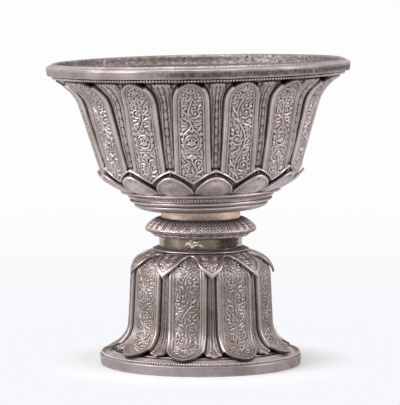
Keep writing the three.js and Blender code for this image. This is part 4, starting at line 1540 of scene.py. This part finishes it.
@dataclass(frozen=True)
class Stem:
    """The stem: copper tube, collar, brass sleeve, drop of solder, and the knop in two halves."""

    base: float = 57.8
    radius: float = 20.9
    wall: float = 1.2
    flange: float = 60.3
    collar_radius: float = 25.7
    collar_height: float = 1.7
    boss_radius: float = 24.0
    lower_neck: float = 5.4
    sleeve_wall: float = 0.65
    knop_radius: float = 29.3
    knop_lower_height: float = 3.4
    knop_upper_mouth: float = 22.4
    knop_upper_height: float = 6.2
    scallops: int = 16
    upper_neck: float = 4.1
    drop_size: tuple[float, float, float] = (8.5, 3.2, 4.4)
    drop_aside: float = -2.9
    lean: float = 1.2
    aside: float = 0.3
    seat: Seat = Seat()

    @property
    def collar_top(self) -> float:
        """Height of the collar's upper face."""
        return self.flange + self.collar_height

    @property
    def knop_base(self) -> float:
        """Height of the knop's underside."""
        return self.collar_top + self.lower_neck + SOLDER

    @property
    def knop_ridge(self) -> float:
        """Height of the knop's widest line."""
        return self.knop_base + self.knop_lower_height

    @property
    def knop_top(self) -> float:
        """Height of the knop's upper mouth."""
        return self.knop_ridge + self.knop_upper_height

    @property
    def neck_top(self) -> float:
        """Height of the tube's upper end."""
        return self.knop_top + self.upper_neck - SOLDER

    def build(self) -> None:
        """Makes and dresses the stem's pieces."""
        bore, base = self.radius + SOLDER, self.base + SOLDER
        tube = upright(self.radius - self.wall, self.radius, base, self.neck_top)
        shell = turned(divided(rounded(tube, 0.2), 0.8), 192, self.neck_dents)
        points = shell.points[0]
        share = smooth_step(self.knop_top - 2, self.neck_top, points[:, 2])
        points[:, 2] += share * (points[:, 0] - self.aside) * math.tan(math.radians(self.lean))
        # Painted reflection: the tube is brighter on its left and right sides. It is also brighter along its
        # top end.
        side = points[:, 0] + 1.5 * np.sin(1.9 * points[:, 2])
        side_sheen = bump(side, -17.0, 6.0) + smooth_step(11.5, 14.5, side) * smooth_step(20.6, 19.0, side)
        upper_end = smooth_step(-1.2, -0.4, points[:, 2] - self.neck_top)
        shell.masks[0][:, 0] = 0.36 + 0.5 * side_sheen + 0.3 * upper_end
        shell.build("stem_copper_tube", self.seat, COPPER, "stem_tube")

        collar = [
            (bore, base), (self.boss_radius, base), (self.boss_radius, self.flange),
            (self.collar_radius, self.flange), (self.collar_radius, self.flange + 0.55),
            (self.boss_radius, self.collar_top - 0.35), (bore, self.collar_top),
        ]
        shell = turned(divided(rounded(collar, 0.3), 0.8), 256, self.neck_dents)
        # Painted shadow: the collar's upper cone, under the neck, is darker.
        shaded_cone = smooth_step(self.flange + 0.5, self.flange + 0.8, shell.points[0][:, 2])
        shell.masks[0][:, 0] *= 1 - 0.55 * shaded_cone
        shell.build("stem_collar_ring", self.seat, WORN_SHADED, "foot_collar")

        foot, top = self.collar_top + SOLDER, self.collar_top + self.lower_neck
        sleeve = upright(bore, bore + self.sleeve_wall, foot, top)
        shell = turned(divided(rounded(sleeve, 0.2), 0.6), 192, self.neck_dents)
        # Painted shade and reflection: the sleeve is darker on its right side and lighter at its left and right
        # silhouettes.
        side = shell.points[0][:, 0] + 0.6 * np.sin(3.1 * shell.points[0][:, 2])
        silhouette_sheen = smooth_step(18.6, 20.2, np.abs(side))
        shell.masks[0][:, 0] = 0.44 - 0.22 * smooth_step(6.0, 11.0, side) * (1 - silhouette_sheen) + 0.46 * silhouette_sheen
        shell.build("lower_neck_brass", self.seat, BRASS, "lower_neck_sleeve")
        self.build_drop(bore + self.sleeve_wall, (foot + top) / 2)
        self.build_knop(bore)

    def neck_dents(self, angle: Array, radius: Array, height: Array) -> Array:
        """Slow dents of the necks."""
        return unevenness(2 * angle, 2 * height, 11, 0.06)

    def build_drop(self, neck: float, height: float) -> None:
        """Makes the drop of solder: a ball squashed against the neck, with lumps from a few crossed sines.

        Args:
            neck: radius of the sleeve under it.
            height: height of its middle.
        """
        rows, columns = 30, 48
        lift = np.linspace(0, np.pi, rows + 1)[1:-1, None]
        turn = np.linspace(0, 2 * np.pi, columns, endpoint=False)[None, :]
        ball = around(np.sin(lift), turn, np.cos(lift))
        wave = np.array([[5.0, 2.0, 3.0], [-3.0, 4.0, 6.0], [7.0, -5.0, 2.0], [-8.0, 6.0, 9.0]])
        lumps = 1 + 0.09 * np.sin(ball @ wave.T + np.arange(4)).sum(axis=-1)
        half = np.array(self.drop_size) / 2
        middle = np.array([self.drop_aside, -math.sqrt(neck**2 - self.drop_aside**2), height])
        shell = Shell()
        numbers = shell.grid(ball * lumps[..., None] * half + middle, np.clip(0.5 + 1.6 * (lumps - 1), 0, 1))
        poles = shell.grid(middle + np.array([[0.0, 0.0, half[2]], [0.0, 0.0, -half[2]]]))
        shell.quads(numbers, wrap=True)
        shell.fan(numbers[0, ::-1], int(poles[0]))
        shell.fan(numbers[-1], int(poles[1]))
        shell.build("neck_solder_blob", self.seat, TIN, "neck_solder_drop")

    def across(self, angle: Array) -> Array:
        """Where angles lie across the knop's leaves: 0 on a rib, 1 between two leaves."""
        return 2 * np.abs((2 * self.scallops * angle / (2 * np.pi)) % 1.0 - 0.5)

    def feathers(self, angle: Array, height: Array) -> Array:
        """Leaves laid close round the knop, each with slanting veins on both sides of its rib.

        Args:
            angle: angles round the axis.
            height: heights in mm; the leaves run from the knop's ridge to its mouth.

        Returns:
            The leaves' relief in mm.
        """
        level, across = (height - self.knop_ridge) / self.knop_upper_height, self.across(angle)
        veins = 0.17 * np.cos(2 * np.pi * (4.6 * level - 1.7 * across))
        return 0.12 * bump(across, 0.0, 0.2) + veins - 0.2 * bump(across, 1.0, 0.16)

    def build_knop(self, bore: float) -> None:
        """Makes the knop's two halves, a rounded upper one and a cup with a wavy rim under it.

        Args:
            bore: radius of the hole for the tube.
        """
        widest, ridge, base = self.knop_radius, self.knop_ridge, self.knop_base
        top, rise = self.knop_top, self.knop_upper_height

        def upper_relief(angle: Array, radius: Array, height: Array) -> Array:
            """Leaves from the ridge up to the mouth, on the outer side alone."""
            outer = height > top - rise * (radius - bore) / (widest - bore) + 0.2
            return outer * self.feathers(angle, height)

        upper = [
            (bore, top - PLAIN_SHEET), (25.2 - PLAIN_SHEET, ridge + rise * 0.6),
            (widest - PLAIN_SHEET - 0.3, ridge), (widest - 0.15, ridge),
            (widest, ridge + rise * 0.12), (widest - 0.6, ridge + rise * 0.3),
            (27.2, ridge + rise * 0.54), (25.0, ridge + rise * 0.8), (self.knop_upper_mouth, top), (bore, top),
        ]
        shell = turned(divided(rounded(upper, 1.1, 4), 0.3), 640, upper_relief, 0.2)
        # The upper half is a little darker all over and, as painted shade under the neck and the dish, much
        # darker towards its mouth.
        shell.masks[0][:, 0] *= 0.86 - 0.5 * smooth_step(top - 1.6, top - 0.3, shell.points[0][:, 2])
        shell.build("knop_upper_leaves", self.seat, CHASED, "knop_upper")

        def lower_relief(angle: Array, radius: Array, height: Array) -> Array:
            """Small arches under a raised wavy rim, and the leaves' ends above it.

            Args:
                angle: angles round the axis.
                radius: radii in mm.
                height: heights in mm.

            Returns:
                Their relief in mm.
            """
            level, across = (height - base) / self.knop_lower_height, self.across(angle)
            wave = level + 0.05 * np.cos(self.scallops * angle) + 0.1 * across**2
            rim = 0.6 * bump(wave, 0.5, 0.14) - 0.2 * bump(wave, 0.68, 0.08)
            lobe = 0.2 * (1 - across**2) - 0.24 * bump(across, 1.0, 0.2)
            leaf = self.feathers(angle, height) * smooth_step(0.66, 0.74, wave)
            relief = rim + lobe * smooth_step(0.42, 0.36, wave) + leaf
            return relief * (radius > bore + 1.2) * smooth_step(0, 0.12, level)

        profile = ((23.9, 0.0), (24.9, 0.25), (25.6, 1.3), (25.9, 1.9), (27.6, 2.35), (28.8, 2.85))
        lower = [
            (bore, base), *((radius, base + level) for radius, level in profile),
            (widest - 0.15, ridge - SOLDER), (widest - PLAIN_SHEET - 0.2, ridge - SOLDER),
            (25.6, base + 0.6 * self.knop_lower_height + 0.7), (24.0, base + PLAIN_SHEET),
            (bore, base + PLAIN_SHEET),
        ]
        shell = turned(divided(rounded(lower, 0.5, 4), 0.3), 640, lower_relief, 0.2)
        shell.build("knop_lower_lobes", self.seat, CHASED, "knop_lower")


@dataclass(frozen=True)
class BowlBase:
    """The bowl's base: a moulded dish, beads on its middle lip, and the ring that carries the sheets."""

    floor_radius: float = 22.9
    low_lip: float = 35.3
    low_lip_height: float = 2.9
    mid_lip: float = 37.7
    mid_lip_rise: float = 2.3
    lip: float = 0.8
    wire_radius: float = 0.75
    wire_lift: float = 0.9
    ring_clearance: float = 0.9
    ring_lip: float = 1.1
    beads: int = 160
    ring_radius: float = 42.4
    seat: Seat = Seat()

    def dents(self, angle: Array, radius: Array, height: Array) -> Array:
        """Slow dents of the dish and its lips."""
        return unevenness(angle, height, 21, 0.1) * smooth_step(20.0, 30.0, radius)

    def build(self) -> None:
        """Makes and dresses the base's pieces."""
        low, mid = self.low_lip_height, self.low_lip_height + self.mid_lip_rise
        mid_top = mid + self.lip
        wire_height = mid_top + SOLDER + self.wire_lift + self.wire_radius
        ring_base = wire_height + self.wire_radius + self.ring_clearance
        wall, wall_top = self.mid_lip - self.wire_radius - SOLDER, ring_base - SOLDER
        bore = wall - PLAIN_SHEET
        share = np.linspace(0, 1, 12)[1:-1, None]
        sweep = quadratic((self.floor_radius, 0.0), (self.low_lip - 3, 0.0), (self.low_lip, low), share)
        dish = [
            (0.0, 0.0), (self.floor_radius, 0.0), *sweep, (self.low_lip, low), (self.low_lip, low + self.lip),
            (self.low_lip - self.lip, low + self.lip), (self.mid_lip - self.lip - 0.9, mid - self.lip),
            (self.mid_lip, mid), (self.mid_lip, mid_top), (wall, mid_top), (wall, wall_top),
            (bore, wall_top), (bore, mid_top), (self.low_lip - 2 * PLAIN_SHEET, low + PLAIN_SHEET),
            (self.floor_radius, PLAIN_SHEET), (0.0, PLAIN_SHEET),
        ]
        shell = turned(rounded(dish, 0.3), 224, self.dents)
        shell.build("bowl_moulded_dish", self.seat, PLAIN, "bowl_base_dish")

        beads = bead_row(self.mid_lip, wire_height, self.wire_radius, self.beads)
        beads.build("base_bead_row", self.seat, DULL, "base_bead_wire")

        shoulder, ring_top = self.ring_radius - self.lip / 2, ring_base + self.ring_lip
        ring = [
            (bore, ring_base), (shoulder, ring_base), (self.ring_radius, ring_base + self.lip / 2),
            (shoulder, ring_top), (bore, ring_top),
        ]
        shell = turned(divided(rounded(ring, 0.25), 1.2), 288, self.dents)
        shell.build("base_lipped_ring", self.seat, PLAIN, "base_top_ring")


@dataclass(frozen=True)
class Bowl:
    """The bowl above its base: petals, leaves, sepals, liner, lip, rim band and beaded wire."""

    shell_base: float = 11.6
    base_radius: float = 40.2
    hip_radius: float = 52.9
    hip_rise: float = 10.2
    throat_radius: float = 63.2
    wall_rise: float = 34.0
    flare_rise: float = 13.8
    fullness: Place = (5.0, 8.0)
    petal_turn: float = -4.2
    rim_radius: float = 80.0
    rim_overhang: float = 4.5
    rim_taper: float = 0.6
    band_height: float = 4.4
    rim_underside: float = 2.6
    rim_bend: float = 0.18
    # x in mm over which the rim turns darker to the right: painted shade.
    rim_painted_shade: Place = (-45.0, -5.0)
    wire_radius: float = 0.75
    wire_inset: float = 3.6
    beads: int = 296
    lip_width: float = 3.2
    lip_dome: float = 2.0
    lip_edge: float = 0.3
    floor_radius: float = 24.0
    floor_sag: float = 4.7
    dots: int = 340
    dot_radius: float = 0.6
    seat: Seat = Seat()

    @property
    def tip_height(self) -> float:
        """Height of the petals' tips."""
        return self.shell_base + self.hip_rise + self.wall_rise + self.flare_rise

    @property
    def rim_base(self) -> float:
        """Height of the rim band's lower edge."""
        return self.tip_height + self.rim_underside

    @property
    def rim_height(self) -> float:
        """Height of the rim's outer edge."""
        return self.rim_base + self.band_height

    def ring(self) -> PetalRing:
        """The bowl's ring of petals, whose line runs up from the base. Its sepals end in a rounded arch.

        Returns:
            The ring.
        """
        hip = self.shell_base + self.hip_rise
        corners = (
            (self.base_radius, self.shell_base), (self.hip_radius, hip),
            (self.throat_radius, hip + self.wall_rise), (self.rim_radius - self.rim_overhang, self.tip_height),
        )
        share = np.linspace(0.0, 1.0, 25)
        return PetalRing(
            label="bowl", petal_node="bowl_petal_shell", finish=CHASED, seat=self.seat,
            line=SheetLine(corners, *self.fullness), count=14, turn=FRONT + math.radians(self.petal_turn),
            width=18.4, arch=14.5, point=0.8, notch=4.8, leaf_drop=0.8, border=BROAD_BORDER,
            sepal_length=16.5, sepal_notch=3.0, sepal_curl=0.9,
            sepal_outline=(tuple(share), tuple((1 - share**2) ** 0.66)), sepal_border=THIN_BORDER,
            leaf_outline=((0.0, 0.12, 0.36, 0.55, 0.7, 1.0), (1.0, 0.84, 0.66, 0.42, 0.1, 0.0)),
            head_half=6.4, seed=2, zigzag=Zigzag(), rows=204,
            sway=(1.4, -3.1, -8.0, -7.0, -5.0, -2.5, -0.5, 0.0, 0.0, 0.0, 0.0, 0.0, 1.5, 3.3),
        )

    def build(self) -> None:
        """Makes and dresses the bowl's pieces. Every third petal carries the scroll, but not the last one."""
        ring = self.ring()

        def pattern_of(number: int) -> Pattern:
            """Which ornament a petal carries."""
            return Pattern.SCROLL if number % 3 == 1 and number < ring.count - 1 else Pattern.MEDALLION

        ring.petals(pattern_of)
        ring.leaves(0.6, 1.1)
        tick = Chasing(raised=0.3)
        tick.line(np.array([(0.0, -0.3), (0.0, -2.4)]), 0.34)
        ring.sepals(tick, 0.55)
        self.build_liner(ring)
        self.build_rim(ring)

    def liner_dents(self, angle: Array, radius: Array, height: Array) -> Array:
        """Slow dents of the liner."""
        return unevenness(angle, 0.5 * height, 31, 0.12) * smooth_step(0.0, 20.0, radius)

    def build_liner(self, ring: PetalRing) -> None:
        """Makes the liner in its three courses: floor and hip, wall, flare.

        Args:
            ring: the bowl's ring of petals.
        """
        line = ring.line
        floor = self.shell_base - self.floor_sag
        courses = (
            ("floor", 0.0, line.wall_from, 24, 160),
            ("wall", line.wall_from + SOLDER, line.wall_to, 30, 160),
            ("flare", line.wall_to + SOLDER, line.length - SOLDER, 24, 200),
        )
        for course, start, end, count, columns in courses:
            outer, inner = ring.lining(start, end, count)
            outline = np.vstack([outer, inner[::-1]])
            if course == "floor":
                top = floor + PLAIN_SHEET
                under, over = [(0.0, floor), (self.floor_radius, floor)], [(self.floor_radius, top), (0.0, top)]
                outline = np.vstack([under, outline, over])
            shell = turned(outline, columns, self.liner_dents)
            shell.build(f"liner_{course}_sheet", self.seat, LINER, f"bowl_liner_{course}")

    def punched(self, angle: Array, radius: Array, height: Array) -> Array:
        """Round punch marks along the lip's upper face, each a hollow with a cosine's section.

        Args:
            angle: angles round the axis.
            radius: radii in mm.
            height: heights in mm.

        Returns:
            Their relief in mm.
        """
        pitch = 2 * np.pi / self.dots
        middle = self.rim_radius - 0.74 * self.lip_width
        across = radius * ((angle + pitch / 2) % pitch - pitch / 2)
        away = np.sqrt(across**2 + (radius - middle) ** 2)
        on_top = smooth_step(self.rim_height - 0.3, self.rim_height, height)
        return -0.6 * bump(away, 0.0, self.dot_radius) * on_top

    def band_dents(self, angle: Array, radius: Array, height: Array) -> Array:
        """Shallow dents of the rim band's outer face."""
        face = smooth_step(self.rim_radius - 3.0, self.rim_radius - 1.0, radius)
        return face * unevenness(4 * angle, 2 * height, 42, 0.07)

    def hand_bent(self, shell: Shell) -> Shell:
        """Bends a ring of the rim a little out of round and out of flat, alike for all of them.

        Args:
            shell: the ring's shell, changed in place.

        Returns:
            The same shell.
        """
        points = shell.points[0]
        angle = np.arctan2(points[:, 1], points[:, 0])
        level = np.zeros_like(angle)
        out = unevenness(angle, level, 41, self.rim_bend)
        up = unevenness(angle, level, 42, 0.7 * self.rim_bend)
        points += np.stack([out * np.cos(angle), out * np.sin(angle), up], axis=-1)
        return shell

    def build_rim(self, ring: PetalRing) -> None:
        """Makes the lip with its punched dots, the rim band and the row of beads under it.

        The lip rises from the liner's line in a quadratic bend, and its upper face is domed.

        Args:
            ring: the bowl's ring of petals.
        """
        crest, under = self.rim_radius - self.lip_width, self.rim_height - self.lip_edge
        inside, throat = self.rim_height + self.lip_dome / 3, self.rim_base + SHEET
        outer, inner = (side[-1] for side in ring.lining(0.0, ring.line.length, 2))
        share = np.linspace(0, 1, 14)[1:, None]
        rise = quadratic(outer, (crest, throat), (crest, under), share)
        inner_crest = crest - PLAIN_SHEET
        inner_rise = quadratic(inner, (inner_crest, throat), (inner_crest, inside), share)
        fold = np.linspace(0, np.pi / 2, 22)[:, None]
        across = self.rim_radius - self.lip_width * np.sin(fold)
        up = self.rim_height + self.lip_dome * (1 - np.cos(fold)) ** 0.5 * np.cos(0.25 * fold)
        dome = np.hstack([across, up])
        lip = np.vstack([inner, outer, rise, (self.rim_radius, under), dome, inner_rise[::-1]])
        shell = self.hand_bent(turned(divided(lip, 0.8), 1360, self.punched))
        points, masks = shell.points[0], shell.masks[0]
        hidden = smooth_step(crest - 0.1, crest - 0.6, np.hypot(points[:, 0], points[:, 1]))
        # Painted shade: the lip is a little darker to the right.
        masks[:, 0] -= 0.08 * smooth_step(*self.rim_painted_shade, points[:, 0])
        masks[:, 0] += hidden * (0.29 - masks[:, 0])
        shell.build("rim_punched_lip", self.seat, PLAIN, "rim_lip")

        top, floor = under - 0.1, self.rim_base + SHEET
        foot = self.rim_radius - self.rim_taper
        band = [
            (crest + SOLDER, self.rim_base), (foot, self.rim_base), (self.rim_radius, top),
            (self.rim_radius - PLAIN_SHEET, top), (foot - PLAIN_SHEET, floor), (crest + SOLDER, floor),
        ]
        shell = self.hand_bent(turned(divided(rounded(band, 0.25), 0.9), 480, self.band_dents))
        # Painted shade: the band is darker to the right.
        shell.masks[0][:, 0] -= 0.25 * smooth_step(*self.rim_painted_shade, shell.points[0][:, 0])
        shell.build("rim_plain_band", self.seat, PLAIN, "rim_band")

        wire_height = self.rim_base - SOLDER - self.wire_radius
        beads = bead_row(self.rim_radius - self.wire_inset, wire_height, self.wire_radius, self.beads)
        self.hand_bent(beads).build("rim_bead_row", self.seat, PLAIN, "rim_bead_wire")


@dataclass(frozen=True)
class Studio:
    """A pale floor, soft light and the camera at the photograph's angle. Sizes in metres and degrees."""

    camera_distance: float = 1.485
    camera_height: float = 0.2195
    camera_aside: float = -0.00037
    camera_tilt: float = 5.18
    lens: float = 251.5
    sensor: float = 36.0
    floor_radius: float = 6.0
    floor_sides: int = 96
    floor_gap: float = 0.00002
    lamp_aim: float = 0.08
    front_shade: float = 0.34
    right_shade: float = 0.62
    floor_shade: float = 0.72
    lamps: tuple[tuple[str, tuple[float, float, float], float, float], ...] = (
        ("left_lamp", (-1.0, -0.5, 0.6), 0.9, 10.5),
        ("right_lamp", (1.1, -0.35, 0.6), 0.9, 6.0),
        ("top_lamp", (0.0, -0.3, 1.4), 1.0, 9.0),
    )

    def build(self) -> None:
        """Sets up the floor, the world, the lamps and the camera."""
        bpy.context.scene.view_settings.view_transform = "Standard"
        self.add_floor()
        self.add_world()
        for lamp in self.lamps:
            self.add_lamp(*lamp)
        self.add_camera()

    def add_floor(self) -> None:
        """A round floor that turns from matt near the cup to the background's white further out."""
        turn = np.linspace(0, 2 * np.pi, self.floor_sides, endpoint=False)
        points = around(self.floor_radius, turn, -self.floor_gap)
        mesh = bpy.data.meshes.new("floor")
        mesh.from_pydata(points.tolist(), [], [list(range(self.floor_sides))])
        material = bpy.data.materials.new("pale_floor")
        wiring = Wiring.fresh(material)
        place = wiring.node("TexCoord").outputs["Object"]
        distance = wiring.node("VectorMath", {0: place}, operation="LENGTH").outputs["Value"]
        matt = wiring.node("BsdfDiffuse", {"Color": (0.745, 0.75, 0.77, 1.0)}).outputs[0]
        near, far = (0.935, 0.935, 0.97, 1.0), (0.98, 0.98, 0.98, 1.0)
        colour = wiring.blend(wiring.ramp(distance, 0.1, 1.0), near, far)
        sight = wiring.node("LightPath").outputs["Is Camera Ray"]
        glow = wiring.ramp(sight, 0.0, 1.0, self.floor_shade, 1.0)
        white = wiring.node("Emission", {"Color": colour, "Strength": glow}).outputs[0]
        both = wiring.node("MixShader", {0: wiring.ramp(distance, 0.054, 0.095), 1: matt, 2: white})
        wiring.node("OutputMaterial", {"Surface": both.outputs[0]})
        mesh.materials.append(material)
        in_scene("floor", mesh)

    def add_world(self) -> None:
        """White to the camera; to the metal, white behind and at the sides and darker before the cup."""
        world = bpy.data.worlds.new("studio")
        bpy.context.scene.world = world
        wiring = Wiring.fresh(world)
        direction = wiring.node("TexCoord").outputs["Generated"]
        x, y, z = wiring.node("SeparateXYZ", {0: direction}).outputs
        shade = wiring.math("MULTIPLY", wiring.ramp(y, -0.25, -0.85), wiring.ramp(z, 0.75, 0.25))
        front = wiring.ramp(shade, 0.0, 1.0, 0.95, self.front_shade)
        strength = wiring.math("MULTIPLY", front, wiring.ramp(x, 0.1, 0.9, 1.0, self.right_shade))
        light = wiring.node("Background", {"Color": (1.0, 0.99, 0.985, 1.0), "Strength": strength}).outputs[0]
        seen = wiring.node("Background", {"Color": (0.98, 0.98, 0.98, 1.0)}).outputs[0]
        sight = wiring.node("LightPath").outputs["Is Camera Ray"]
        both = wiring.node("MixShader", {0: sight, 1: light, 2: seen})
        wiring.node("OutputWorld", {"Surface": both.outputs[0]})

    def add_lamp(self, name: str, place: tuple[float, float, float], size: float, power: float) -> None:
        """Adds a square soft lamp that faces the cup's middle.

        Args:
            name: its name.
            place: where it hangs.
            size: its side.
            power: its power in watts.
        """
        lamp = bpy.data.lights.new(name, "AREA")
        lamp.size = size
        lamp.energy = power
        hung = in_scene(name, lamp)
        hung.location = place
        x, y, z = np.array(place) - (0.0, 0.0, self.lamp_aim)
        hung.rotation_euler = (math.atan2(math.hypot(x, y), z), 0.0, math.atan2(x, -y))

    def add_camera(self) -> None:
        """Puts the camera where the photograph was taken from."""
        view = bpy.data.cameras.new("photo_view")
        view.lens = self.lens
        view.sensor_width = self.sensor
        camera = in_scene("photo_view", view)
        camera.location = (self.camera_aside, -self.camera_distance, self.camera_height)
        camera.rotation_euler = (math.radians(90.0 - self.camera_tilt), 0.0, 0.0)
        bpy.context.scene.camera = camera


def main() -> None:
    """Builds the cup's sub-assemblies in order, then the studio."""
    logging.basicConfig(level=logging.INFO, format="%(message)s")
    stem = Stem()
    bowl_seat = Seat((stem.aside, 0.0, stem.knop_top + stem.upper_neck), stem.lean)
    for assembly in (Foot(), stem, BowlBase(seat=bowl_seat), Bowl(seat=bowl_seat)):
        LOG.info("building %s", type(assembly).__name__)
        assembly.build()
    Studio().build()


if __name__ == "__main__":
    main()
